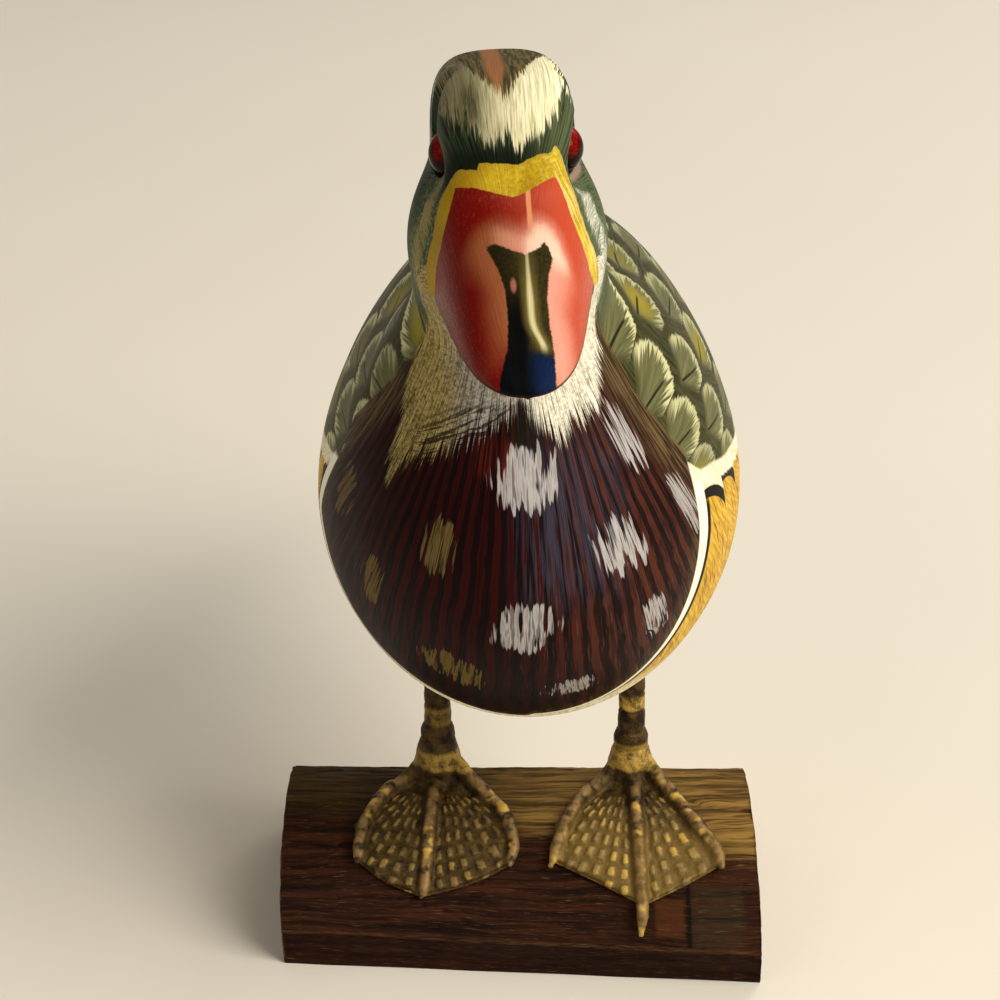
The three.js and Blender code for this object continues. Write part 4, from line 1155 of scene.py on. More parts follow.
def bill_paint(coat, look, marks, streaks):
    px, py, pz, patch, mouth = marks
    speckle, cloud = streaks
    # The red is darker on the duck's right and brighter on its left: partly the paint itself, partly painted shade and
    # painted light.
    red = coat.blend(coat.step(-6, 9, px + (cloud - 0.5) * 4), look.bill_red_in_shade, look.bill_red_in_light)
    red = coat.blend(coat.step(0.5, 0.8, speckle) * 0.2, red, from_hex("D8583E"))
    off = 0.0 - patch + (cloud - 0.5) * 2.4 + (speckle - 0.5) * 0.8
    tan = coat.blend(coat.step(-3.5, 2.5, px), from_hex("9A5A36"), from_hex("EFA68E"))
    ends = coat.most(coat.step(-84, -76, py), coat.step(-1, 2, px) * coat.step(-88, -82, py))
    red = coat.blend(coat.step(5.2, 0.6, off) * ends * 0.85, red, tan)
    # A painted highlight: a pale pink sheen on the halo at the top of the bill, just to the duck's left of the middle.
    painted_sheen = coat.step(3.4, 1.2, off) * coat.step(-69.0, -65.5, py) * coat.step(0.6, 2.4, px)
    red = coat.blend(painted_sheen * 0.6, red, from_hex("F8E2C4"))
    rosy = coat.step(3.2, 1.2, off) * coat.step(-67.0, -65.0, py) * coat.step(2.4, 0.6, px) * coat.step(-5, -2.5, px)
    red = coat.blend(rosy * 0.45, red, from_hex("D9967A"))
    # A painted highlight along the crease at the top of the bill.
    crease = coat.step(0.6, 0.25, abs(px - 2.7)) * coat.step(-63.5, -61.5, py)
    red = coat.blend(crease * 0.8, red, from_hex("E89A6A"))
    black = coat.blend(coat.step(0.3, 0.75, speckle), from_hex("262008"), from_hex("3C3414"))
    black = coat.blend(coat.step(-69, -76, py) * coat.step(1.4, 0.2, px), black, from_hex("030304"))
    black = coat.blend(coat.step(0.5, -3.0, px) * 0.6, black, from_hex("100D05"))
    # A painted highlight, a gleam with a softer glow around it, runs down the ridge of the patch and bends to the
    # duck's left
    swing = coat.step(-75.0, -80.5, py)
    beside = abs(px - 1.65 - swing * swing * 1.7)
    spread = coat.step(-65, -74, py)
    glow = coat.step(2.1, 0.3, beside) * (0.15 + spread * 0.5) * coat.step(-82.0, -79.5, py)
    black = coat.blend(glow, black, from_hex("85753A"))
    gleam = coat.step(0.85, 0.1, beside * (2.0 - spread)) * coat.step(-81.6, -79.4, py)
    black = coat.blend(gleam * (0.45 + spread * 0.45), black, from_hex("E4D6A0"))
    black = coat.blend(coat.step(-80.0, -82.0, py), black, from_hex("030406"))
    # A painted reflection of the sky: deep blue on the nail, on the duck's left.
    painted_sky_glint = coat.step(-80.3, -82.3, py) * coat.step(-0.4, 3.0, px) * coat.step(-87.4, -85.4, py)
    black = coat.blend(painted_sky_glint, black, from_hex("051C42"))
    nick = coat.step(1.3, 0.5, coat.math("SQRT", (px + 1.0) * (px + 1.0) * 3.5 + (py + 71.2) * (py + 71.2) * 0.8))
    black = coat.blend(nick * 0.8, black, from_hex("B06A56"))
    bill = coat.blend(coat.step(-0.15, 0.2, patch + (speckle - 0.5) * 0.7), red, black)
    chin = coat.blend(coat.step(0.35, 0.7, speckle), from_hex("5E1A12"), from_hex("8C3A28"))
    bill = coat.blend(coat.step(-0.4, -0.9, mouth), bill, chin)
    # A dark line along the mouth: painted shade in the gape between the mandibles.
    return coat.blend(coat.step(0.5, 0.15, abs(mouth + 0.3)) * 0.85, bill, from_hex("2A0E0A"))


def duck_coat(look):
    coat = Coat("painted_wood")
    px, py, pz = coat.kept("carving")
    ca, sa, station = coat.kept("around")
    throat, shoulder, front = coat.kept("edges")
    outer, inner, patch = coat.kept("face")
    around, row, wing = coat.kept("feathers")
    crown, ivory, mouth = coat.kept("crown")
    tuft_spread, eye, back_angle = coat.kept("near")
    side = coat.step(-0.5, 0.5, px)

    # Streaks that run from bill to tail, broad and fine, and speckles
    broad = coat.noise(ca * 22, sa * 22, station * 1.1, detail=3, roughness=0.6)
    fine = coat.noise(ca * 60, sa * 60, station * 2.2, detail=3, roughness=0.65)
    hair = coat.noise(ca * 110, sa * 110, station * 3.5, detail=2, roughness=0.6)
    speckle = coat.noise(px * 1.6, py * 1.6, pz * 1.6, detail=3, roughness=0.6)
    cloud = coat.noise(px * 0.12, py * 0.12, pz * 0.12, detail=2)

    paint = back_and_wings(coat, look, (around, row, wing, side, py), (broad, fine, hair))
    flank = flank_paint(coat, look, (px, py, pz, wing), (broad, fine, hair))
    paint = coat.blend(coat.step(0.4, -0.4, wing + (fine - 0.5) * 1.0), paint, flank)
    # The bar in front of the flank, with a black line behind it
    bar_width = coat.step(70, 112, pz) * 2.2 + 1.0
    bar = coat.step(-0.2, 0.2, front + bar_width) * coat.step(119, 117, pz)
    line = coat.step(-0.2, 0.2, front + bar_width + 1.25) * coat.step(116, 112, pz) * coat.step(70, 78, pz)
    paint = coat.blend(line, paint, look.line_black)
    paint = coat.blend(bar, paint, look.flank_cream)

    breast = breast_paint(
        coat, look, (px, pz, back_angle, shoulder, front, coat.kept("tufts"), tuft_spread), (broad, fine, hair, cloud)
    )
    in_breast = coat.least(shoulder + (fine - 0.5) * 3.5, front)
    paint = coat.blend(coat.step(-0.2, 0.3, in_breast), paint, breast)

    head = coat.step(9.7, 10.1, station + (fine - 0.5) * 0.7) * coat.step(-0.5, 1.0, 0.0 - shoulder)
    on_head = head_paint(coat, look, (px, py, pz, outer, crown, ivory, eye), (fine, hair, speckle, cloud))
    paint = coat.blend(head, paint, on_head)

    # Throat patch with its ragged edge
    mottled = speckle * 0.5 + fine * 0.5
    # The throat's white turns grey on the duck's right of the middle and khaki further round: painted shade, with a
    # warm painted reflection.
    khaki = coat.blend(coat.step(0.38, 0.62, mottled), from_hex("6A5624"), look.throat_shade_khaki)
    white = coat.blend(coat.step(0.38, 0.6, mottled), from_hex("BDB498"), look.throat_white)
    half_shade_grey = coat.blend(coat.step(0.38, 0.6, mottled), from_hex("6E6656"), from_hex("BDB8AC"))
    patch_tone = coat.blend(coat.step(-15, -8, px + (cloud - 0.5) * 6), khaki, half_shade_grey)
    patch_tone = coat.blend(coat.step(-4, 4, px + (cloud - 0.5) * 6), patch_tone, white)
    dark_hairs = coat.step(0.56, 0.64, hair) * coat.step(7, 0.5, throat)
    patch_tone = coat.blend(dark_hairs * 0.85, patch_tone, look.line_black)
    brushed = coat.noise(throat * 2.6 + px * 0.2, (px + pz * 0.4) * 0.12, 2.0, detail=3, roughness=0.65)
    under_left = coat.step(5.0, 2.0, throat) * coat.step(3.0, 0.0, px) * coat.step(-24, -17, px) * coat.step(142, 139, pz)
    patch_tone = coat.blend(under_left * coat.step(0.5, 0.55, brushed) * 0.85, patch_tone, look.line_black)
    notch = coat.step(1.5, 0.4, abs(px - 0.2)) * coat.step(8, 2, throat) * coat.step(143, 140, pz)
    patch_tone = coat.blend(notch * coat.step(0.4, 0.55, hair) * 0.9, patch_tone, look.line_black)
    ragged = throat - 0.5 + (hair - 0.5) * 6 + (fine - 0.5) * 5
    paint = coat.blend(coat.step(-0.35, 0.35, ragged), paint, patch_tone)

    bill = bill_paint(coat, look, (px, py, pz, patch, mouth), (speckle, cloud))
    yellow = coat.blend(coat.step(0.3, 0.75, speckle * 0.4 + cloud * 0.6), look.band_ochre, look.band_yellow)
    streak = coat.noise(outer * 1.6, px * 0.25, py * 0.25, detail=2)
    # Painted shade: the band turns ochre towards the duck's right.
    yellow = coat.blend(coat.step(4, -8, px) * 0.75, yellow, look.band_ochre)
    yellow = coat.blend(coat.step(4, 9, px) * coat.step(0.45, 0.6, streak) * 0.5, yellow, from_hex("F6E69A"))
    yellow = coat.blend(coat.step(0.9, 0.2, outer) * coat.step(-60, -54, py) * 0.35, yellow, from_hex("8F7A3A"))
    paint = coat.blend(coat.step(-0.12, 0.12, outer + (speckle - 0.5) * 0.3) * coat.step(161.5, 162.3, pz), paint, yellow)
    paint = coat.blend(coat.step(-0.12, 0.12, inner + (speckle - 0.5) * 0.25), paint, bill)

    coat.put(coat.shader.inputs["Base Color"], paint)
    glossy = coat.step(-0.5, 0.5, inner)
    coat.put(coat.shader.inputs["Roughness"], 0.4 + fine * 0.16 - glossy * 0.2)
    coat.shader.inputs["Specular IOR Level"].default_value = 0.06
    coat.bump(broad * 0.5 + fine * 0.35 + hair * 0.2, look.brush_relief / MM)
    return coat


def eye_coat(name, look):
    """Red glass, darker below and at its rim, with a round pupil that looks outwards."""
    coat = Coat(name)
    outward, above, ahead = coat.kept("eye")
    speckle = coat.noise(above * 6, ahead * 6, outward * 3, detail=3)
    spokes = coat.noise(coat.math("ARCTAN2", above, ahead) * 9, outward * 2, 0.0, detail=2)
    glass = coat.blend(coat.step(0.35, 0.7, spokes), look.glass, look.glass_bright)
    glass = coat.blend(coat.step(0.35, -0.3, above + (speckle - 0.5) * 0.4), glass, look.glass_dark)
    ring = coat.step(0.7, 0.8, outward) * coat.step(0.93, 0.86, outward)
    glass = coat.blend(ring * 0.6, glass, look.glass_dark)
    glass = coat.blend(coat.step(0.86, 0.9, outward), glass, look.pupil)
    coat.put(coat.shader.inputs["Base Color"], glass)
    coat.shader.inputs["Roughness"].default_value = 0.12
    coat.shader.inputs["Specular IOR Level"].default_value = 0.04
    coat.shader.inputs["Coat Weight"].default_value = 0.06
    coat.shader.inputs["Coat Roughness"].default_value = 0.03
    return coat


def leg_coat(foot, look):
    """Dark bronze, with gold brushed over the scales, knuckles and bands."""
    coat = Coat(foot["name"])
    x, y, z = coat.kept("stand")
    far, toe, bead = coat.kept("foot")
    lumps = coat.noise(x * 0.45, y * 0.45, z * 0.45, detail=3)
    grit = coat.noise(x * 2.2, y * 2.2, z * 2.2, detail=3, roughness=0.7)
    patchy = coat.noise(x * 0.16, y * 0.16 + 5.0, z * 0.16, detail=2)
    cast = coat.blend(coat.step(0.35, 0.65, lumps * 0.6 + grit * 0.4), look.bronze_dark, look.bronze)
    worn = coat.blend(coat.step(0.4, 0.65, patchy), look.scale_tan, look.gold)
    scales = coat.step(0.3, 0.95, bead + (grit - 0.5) * 1.3 + (lumps - 0.5) * 1.2) * (0.1 + patchy * 1.1)
    on_web = coat.step(6, 12, far) * coat.step(30, 26, z)
    cast = coat.blend(on_web * foot["rubbed"] * (0.3 + grit * 0.5), cast, from_hex("8A7038"))
    cast = coat.blend(scales * foot["scales"], cast, worn)
    on_toe = coat.step(1.5, 0.4, toe + (grit - 0.5) * 0.8) * coat.step(5, 10, far)
    cast = coat.blend(on_toe * coat.step(0.35, 0.6, lumps) * 0.8, cast, from_hex("9A7A4E"))
    knuckle = coat.step(0.55, 0.68, coat.noise(x * 0.3, y * 0.3, z * 0.3 + 9.0, detail=1))
    cast = coat.blend(on_toe * knuckle, cast, look.gold)
    for low, high, share in foot["gold_bands"]:
        band = coat.step(low - 0.5, low + 0.5, z + (lumps - 0.5)) * coat.step(high + 0.5, high - 0.5, z + (lumps - 0.5))
        cast = coat.blend(band * coat.step(0.3, 0.62, grit * 0.4 + lumps * 0.6) * share, cast, look.gold)
    coat.put(coat.shader.inputs["Base Color"], cast)
    coat.shader.inputs["Metallic"].default_value = 0.25
    coat.put(coat.shader.inputs["Roughness"], 0.36 + grit * 0.25)
    coat.shader.inputs["Specular IOR Level"].default_value = 0.18
    coat.bump(grit * 0.6 + lumps * 0.4, 0.25)
    return coat


def log_coat(look):
    """Reddish brown stain in front, olive tan where the top is worn, and rings at the sawn ends."""
    coat = Coat("log_wood")
    x, y, z = coat.kept("stand")
    girth, heart, end = coat.kept("girth")
    wander = coat.noise(x * 0.04, girth * 0.06, 1.0, detail=2)
    line = girth + wander * 5
    broad = coat.noise(x * 0.03, line * 0.5, 3.0, detail=4, roughness=0.6)
    grain = coat.noise(x * 0.07, line * 1.6, 5.0, detail=4, roughness=0.65)
    fibre = coat.noise(x * 0.25, line * 4.5, 8.0, detail=2, roughness=0.6)
    cloud = coat.noise(x * 0.05, girth * 0.05, 11.0, detail=2)
    top = coat.blend(coat.step(0.35, 0.62, broad), look.top_dark, look.top_tan)
    top = coat.blend(coat.step(0.5, 0.62, grain) * 0.7, top, from_hex("2E1E0C"))
    # Painted shade: the top darkens towards its end under the duck's right, through the feet's shadow in the middle.
    top = coat.blend(coat.step(36, -36, x + (cloud - 0.5) * 30) * 0.8, top, from_hex("1E1005"))
    front = coat.blend(coat.step(0.36, 0.64, broad), look.stain_dark, look.stain)
    front = coat.blend(coat.step(0.48, 0.6, grain) * 0.6, front, from_hex("190A05"))
    front = coat.blend(coat.step(0.55, 0.7, cloud) * 0.35, front, from_hex("4E3018"))
    edge = girth - 11 - x * 0.13 + (broad - 0.5) * 22 + (grain - 0.5) * 8
    wood = coat.blend(coat.step(-2.5, 2.5, edge), top, front)
    shift = (grain - 0.5) * 4
    grey = coat.step(7.0, 4.0, abs(x - 41.5) + shift * 0.8) * coat.step(10.0, 6.0, abs(girth - 31) + shift)
    wood = coat.blend(grey * coat.step(0.35, 0.6, grain) * 0.55, wood, from_hex("3A3420"))
    brown = coat.step(3.4, 2.6, abs(x - 31.6) + shift * 0.3) * coat.step(5.2, 4.2, abs(girth - 31.5) + shift)
    wood = coat.blend(brown * 0.75, wood, from_hex("4E2A12"))
    upright = coat.step(0.7, 0.25, abs(x - 35.6) + (fibre - 0.5) * 0.6) * coat.step(9, 8, abs(girth - 31))
    wood = coat.blend(upright * 0.9, wood, from_hex("0E0603"))
    ledge = coat.step(8.6, 7.4, z + (wander - 0.5) * 1.2)
    wood = coat.blend(ledge * 0.65, wood, from_hex("1E0A05"))
    rim = coat.step(0.7, 0.2, abs(z - 8.7 + (wander - 0.5) * 1.2)) * coat.step(0, 2, girth)
    wood = coat.blend(rim * coat.step(0.4, 0.6, fibre) * 0.5, wood, from_hex("6A4A2A"))
    wood = coat.blend(coat.step(0.6, 0.72, fibre) * 0.35, wood, from_hex("8A6C3E"))
    from_heart = coat.math("SQRT", y * y + (z - LOG_HEART_HEIGHT) * (z - LOG_HEART_HEIGHT))
    warp = coat.noise(y * 0.09, z * 0.09, x * 0.02, detail=2)
    pores = coat.noise(y * 1.1, z * 1.1, 4.0, detail=2)
    rings = coat.math("SINE", from_heart * 2.6 + (warp - 0.5) * 13)
    sawn = coat.blend(coat.step(-1.3, 1.7, rings + (pores - 0.5) * 2.4), look.stain, look.top_tan)
    sawn = coat.blend(coat.step(0.45, 0.7, fibre) * 0.4, sawn, look.stain_dark)
    wood = coat.blend(end, wood, sawn)
    coat.put(coat.shader.inputs["Base Color"], wood)
    coat.put(coat.shader.inputs["Roughness"], 0.5 + grain * 0.25)
    coat.shader.inputs["Specular IOR Level"].default_value = 0.08
    coat.bump(broad * 0.4 + grain * 0.4 + fibre * 0.25, 0.5)
    return coat


def floor_coat(look):
    coat = Coat("pale_floor")
    x, y, z = coat.place()
    cloud = coat.noise(x * 0.004, y * 0.004, 0.0, detail=3)
    coat.put(coat.shader.inputs["Base Color"], coat.blend(cloud, look.floor_dark, look.floor_light))
    coat.shader.inputs["Roughness"].default_value = 0.85
    coat.shader.inputs["Specular IOR Level"].default_value = 0.15
    return coat


def stand_to_world(points):
    x, y = stand_turned(points[..., 0], points[..., 1])
    return np.stack([x, y, points[..., 2]], -1)


# Pieces


def make_duck(look):
    stations = duck_stations()
    angles = np.linspace(-np.pi, np.pi, DUCK_SIDES + 1)[:-1]
    points, rays = cast_rings(stations, angles, carved_form)
    points = points + rays * (wing_relief(*np.moveaxis(points, -1, 0)) * look.wing_step)[..., None]
    posed = pose(points, smooth_step(*TURN_STATIONS, stations)[:, None])
    duck = new_object("duck_carving", tube_points(posed), tube_faces(len(stations), DUCK_SIDES))
    for name, values in paint_marks(points, stations, angles).items():
        store(duck, name, tube_points(values))
    return duck


def make_eye(side, radius):
    """A glass ball in its socket. Its rings run from the side that looks outwards."""
    centre = pose(np.array([side * EYE_AT[0], EYE_AT[1], EYE_AT[2]]), 1.0)
    lap = np.linspace(0, np.pi, EYE_RINGS + 2)[1:-1]
    turn = np.linspace(0, 2 * np.pi, EYE_SIDES + 1)[:-1]
    ball = np.stack([
        np.cos(lap)[:, None] + 0 * turn[None],
        np.sin(lap)[:, None] * np.cos(turn)[None],
        np.sin(lap)[:, None] * np.sin(turn)[None],
    ], -1)
    points = centre + ball * [side, 1, 1] * radius
    name = "glass_eye_left" if side > 0 else "glass_eye_right"
    eye = new_object(name, tube_points(points), tube_faces(EYE_RINGS, EYE_SIDES))
    store(eye, "eye", tube_points(np.stack([ball[..., 0], ball[..., 2], -ball[..., 1]], -1)))
    return eye


def foot_path(stops, ankle):
    """A curve through the ankle and a toe's knuckles, as x and girth over the log."""
    points = np.array([ankle, *stops], float)
    gaps = np.linalg.norm(np.diff(points, axis=0), axis=1) ** 0.5

    def path(share):
        share = np.atleast_1d(np.asarray(share, float))
        last = len(points) - 1
        i = np.clip(np.floor(share * last).astype(int), 0, last - 1)
        t = (share * last - i)[:, None]
        before = np.where((i > 0)[:, None], points[np.maximum(i - 1, 0)], 2 * points[0] - points[1])
        after = np.where((i < last - 1)[:, None], points[np.minimum(i + 2, last)], 2 * points[last] - points[last - 1])
        a, b = points[i], points[i + 1]
        middle_gap = gaps[i][:, None]
        first_gap = np.where((i > 0)[:, None], gaps[np.maximum(i - 1, 0)][:, None], middle_gap)
        next_gap = np.where((i < last - 1)[:, None], gaps[np.minimum(i + 1, last - 1)][:, None], middle_gap)
        slope_a = ((a - before) / first_gap - (b - before) / (first_gap + middle_gap) + (b - a) / middle_gap) * middle_gap
        slope_b = ((b - a) / middle_gap - (after - a) / (middle_gap + next_gap) + (after - b) / next_gap) * middle_gap
        t2, t3 = t * t, t * t * t
        return (2 * t3 - 3 * t2 + 1) * a + (t3 - 2 * t2 + t) * slope_a + (3 * t2 - 2 * t3) * b + (t3 - t2) * slope_b

    return path


def ankle_rise(share):
    return TOE_ANKLE_LIFT * (1 - smooth_step(0, TOE_ANKLE_SHARE, share)) ** TOE_ANKLE_SLOPE


def tapered_tube(points, outs, radii, sides):
    along = unit(np.gradient(points, axis=0))
    across = unit(np.cross(along, outs))
    out = np.cross(across, along)
    turn = np.linspace(0, 2 * np.pi, sides + 1)[:-1]
    ring = np.cos(turn)[None, :, None] * across[:, None] + np.sin(turn)[None, :, None] * out[:, None]
    return points[:, None] + ring * radii[:, None, None]


def toe_rings(ankle, stops):
    share = np.linspace(0, 1, 60)
    flat = foot_path(stops, ankle)(share)
    points, outs = on_log(flat[:, 0], flat[:, 1], TOE_LIFT + ankle_rise(share))
    taper = mix(TOE_ROOT_RADIUS, TOE_END_RADIUS, share) * (1 - CLAW_TAPER * smooth_step(CLAW_STARTS, 1, share))
    knuckles = [(k + 1) / len(stops) for k in range(min(2, len(stops)))]
    swelling = sum(np.exp(-(((share - at) / KNUCKLE_LENGTH) ** 2)) for at in knuckles)
    radii = np.maximum(taper + KNUCKLE_SIZE * swelling, TOE_TIP_RADIUS)
    return tapered_tube(points, outs, radii, 20)


def hind_toe_rings(ankle):
    share = np.linspace(0, 1, 30)
    girth = ankle[1] - HIND_TOE_BEHIND - HIND_TOE_LENGTH * share
    lift = HIND_TOE_RADII[0] - HIND_TOE_SUNK + HIND_TOE_RISE * (1 - share) ** 2
    points, outs = on_log(ankle[0] + 0 * share, girth, lift)
    return tapered_tube(points, outs, mix(*HIND_TOE_RADII, share**2), 18)


def web_grids(foot):
    """The web's upper and lower side as grids of points."""
    paths = [foot_path(stops, foot["ankle"]) for stops in foot["toes"]]
    reaches = (foot["web_reach"], foot["middle_reach"], foot["web_reach"])
    columns, rows = 40, 60
    over, under = [], []
    for toe in range(2):
        for c in range(columns + (toe == 1)):
            u = c / columns
            reach = mix(reaches[toe], reaches[toe + 1], u) - foot["web_hollow"] * np.sin(np.pi * u)
            share = np.linspace(WEB_STARTS, reach, rows)
            flat = mix(paths[toe](share), paths[toe + 1](share), u)
            over.append(on_log(flat[:, 0], flat[:, 1], WEB_THICKNESS + ankle_rise(share))[0])
            under.append(on_log(flat[:, 0], flat[:, 1], np.full(rows, -WEB_SUNK))[0])
    return np.array(over), np.array(under)


def plate_parts(over, under):
    """Two like grids of points closed into one plate, as vertices and faces."""
    columns, rows = over.shape[:2]
    offset = columns * rows
    c, r = (v.ravel() for v in np.meshgrid(np.arange(columns - 1), np.arange(rows - 1), indexing="ij"))
    near = np.stack([c * rows + r, (c + 1) * rows + r, (c + 1) * rows + r + 1, c * rows + r + 1], 1)
    faces = near.tolist() + (near[:, ::-1] + offset).tolist()
    edge = [(k, 0) for k in range(columns)] + [(columns - 1, k) for k in range(1, rows)]
    edge += [(k, rows - 1) for k in range(columns - 2, -1, -1)] + [(0, k) for k in range(rows - 2, 0, -1)]
    rim = [a * rows + b for a, b in edge]
    faces += [(b, a, a + offset, b + offset) for a, b in zip(rim, rim[1:] + rim[:1])]
    return np.concatenate([over.reshape(-1, 3), under.reshape(-1, 3)]), faces


def shaft_rings(ankle):
    """The upright leg, with its cuff at the ankle and its flare down to the heel."""
    top = belly_height(ankle) + LEG_SOCKET_DEPTH - GAP
    foot = LOG_WIDEST_HEIGHT + log_size(ankle[0])[1] - LEG_SUNK
    radii, heights = zip(*[(ANKLE_PROFILE[0][0], foot)] + [(r, ANKLE_HEIGHT + over) for r, over in ANKLE_PROFILE]
                         + [(LEG_RADIUS - LEG_WAIST, (ANKLE_HEIGHT + top) / 2), (LEG_RADIUS, top - LEG_SOCKET_DEPTH),
                            (LEG_RADIUS, top)])
    at = np.linspace(foot, top, 120)
    radius = np.interp(at, heights, radii)
    turn = np.linspace(0, 2 * np.pi, 33)[:-1]
    ring = np.stack([np.cos(turn), np.sin(turn)], -1)
    rings = np.zeros((len(at), len(turn), 3))
    rings[..., :2] = np.array([ankle[0], -ankle[1]]) + ring[None] * radius[:, None, None]
    rings[..., 2] = at[:, None]
    return rings


def off_the_log(points):
    """Moves points that are in the log straight out to its surface."""
    x, y, z = points.T
    true_x = x + LOG_END_SKEW * y + LOG_END_LEAN * z
    half_depth, rise = log_size(true_x)
    from_axis = np.sqrt((y / half_depth) ** 2 + ((z - LOG_WIDEST_HEIGHT) / rise) ** 2)
    clear = 1 + GAP / rise
    grow = np.where(from_axis < clear, clear / np.maximum(from_axis, 0.01), 1)
    out = points.copy()
    out[:, 1] = y * grow
    out[:, 2] = LOG_WIDEST_HEIGHT + (z - LOG_WIDEST_HEIGHT) * grow
    return out


def foot_marks(points, foot):
    """How far each point is from the ankle and its degrees around it, and from the nearest toe's line."""
    x, y, z = points.T
    half_depth, rise = log_size(x)
    girth = np.arctan2(-y / half_depth, (z - LOG_WIDEST_HEIGHT) / rise) * LOG_GIRTH_RADIUS
    from_ankle = np.stack([x - foot["ankle"][0], girth - foot["ankle"][1]], -1)
    toe = np.full(len(points), np.inf)
    for stops in foot["toes"]:
        for spot in foot_path(stops, foot["ankle"])(np.linspace(0.04, 1, 50)):
            toe = np.minimum(toe, np.hypot(x - spot[0], girth - spot[1]))
    far = np.hypot(*from_ankle.T)
    over_log = np.sqrt((y / half_depth) ** 2 + ((z - LOG_WIDEST_HEIGHT) / rise) ** 2) - 1
    return far, np.degrees(np.arctan2(*from_ankle.T)), toe, over_log * rise


def scale_relief(far, degrees, toe, over_log):
    """Rows of small raised scales over the web, and creases beside the toes, as shares of a scale's height."""
    row = far / SCALE_ROW
    column = degrees / SCALE_COLUMN + lattice_noise(row * 0.5, degrees * 0.05, 3) * 0.35
    row = row + lattice_noise(row * 0.2 + 3, np.round(column) * 1.7, 7) * 0.45
    across = np.abs(column - np.round(column)) * 2
    along = np.abs(row - np.floor(row) - 0.5) * 2
    bead = smooth_step(0.72, 0.2, across) * smooth_step(0.92, 0.35, along)
    on_web = smooth_step(1.6, 2.4, toe) * smooth_step(7, 10, far) * smooth_step(9, 6, over_log)
    crease = ridge(toe - 2.1, 0.9) * smooth_step(6, 9, far)
    toe_top = smooth_step(1.5, 0.4, toe) * smooth_step(5, 9, far)
    rings = ridge(far / 1.7 - np.round(far / 1.7), 0.3) * toe_top
    return bead * on_web + toe_top * 0.8 - crease * 0.7 - rings * 0.3, bead * on_web


def leg_skin(foot):
    """The shaft, toes and web joined into one skin, as points of the log's frame and faces."""
    rings = [shaft_rings(foot["ankle"]), hind_toe_rings(foot["ankle"])]
    rings += [toe_rings(foot["ankle"], stops) for stops in foot["toes"]]
    parts = [(tube_points(r), tube_faces(*r.shape[:2])) for r in rings] + [plate_parts(*web_grids(foot))]
    vertices, faces, start = [], [], 0
    for points, part_faces in parts:
        faces += [[k + start for k in face] for face in part_faces]
        vertices.append(points)
        start += len(points)
    whole = new_object(foot["name"] + "_parts", np.concatenate(vertices), faces)
    remesh = whole.modifiers.new("one skin", "REMESH")
    remesh.mode = "VOXEL"
    remesh.voxel_size = LEG_VOXEL * MM
    smooth = whole.modifiers.new("soften", "SMOOTH")
    smooth.iterations = LEG_SOFTENING
    skin = bpy.data.meshes.new_from_object(whole.evaluated_get(bpy.context.evaluated_depsgraph_get()))
    bpy.data.objects.remove(whole)
    return skin


def make_leg(foot, height):
    skin = leg_skin(foot)
    flat = np.zeros(len(skin.vertices) * 3, np.float32)
    skin.vertices.foreach_get("co", flat)
    points = off_the_log(flat.reshape(-1, 3).astype(float) / MM)
    skin.vertices.foreach_set("co", (stand_to_world(points) * MM).astype(np.float32).ravel())
    skin.polygons.foreach_set("use_smooth", [True] * len(skin.polygons))
    leg = bpy.data.objects.new("cast_" + foot["name"], skin)
    bpy.context.scene.collection.objects.link(leg)
    far, degrees, toe, over_log = foot_marks(points, foot)
    heights, beads = scale_relief(far, degrees, toe, over_log)
    heights = heights * height
    lying = smooth_step(0.5, 1.0, over_log)
    x, y, z = points.T
    heights = heights + 0.1 * rough_noise(x * 0.8 + z * 0.6, y * 0.8 - z * 0.5, 5) * smooth_step(0.4, 1, over_log)
    bands = [ridge(z - at, 0.5) for at in LEG_RING_HEIGHTS]
    heights = heights - 0.25 * sum(bands) * smooth_step(31, 33, z)
    pushed_out(leg, heights * lying)
    store(leg, "stand", points)
    store(leg, "foot", np.stack([far, toe, beads], -1))
    return leg


def log_section(x):
    """One section of the log as a closed line, from the underside's middle."""
    half_depth, rise = log_size(x)
    angle = np.linspace(np.pi / 2, -np.pi / 2, 81)
    top = np.stack([-half_depth * np.sin(angle), LOG_WIDEST_HEIGHT + rise * np.cos(angle)], -1)
    under = LOG_UNDER_HALF_DEPTH
    return np.concatenate([[[0, 0], [-under, 0]], top, [[under, 0], [0, 0]]])


def log_rings():
    """Rings of points along the log, closed at both ends by rings that shrink to the middle."""
    rings = []
    for at in np.linspace(-LOG_HALF_LENGTH, LOG_HALF_LENGTH, LOG_RINGS):
        line = log_section(at)
        length = np.concatenate([[0], np.cumsum(np.linalg.norm(np.diff(line, axis=0), axis=1))])
        spots = np.linspace(0, length[-1], LOG_SIDES + 1)[:-1]
        y, z = (np.interp(spots, length, line[:, k]) for k in (0, 1))
        rings.append(np.stack([at + 0 * spots, y, z], -1))
    middle = np.array([0, 0, LOG_HEART_HEIGHT])
    shrink = np.linspace(0.02, 0.985, LOG_END_RINGS)
    first = [rings[0] * [1, k, k] + middle * (1 - k) for k in shrink]
    last = [rings[-1] * [1, k, k] + middle * (1 - k) for k in shrink[::-1]]
    return np.array([*first, *rings, *last])


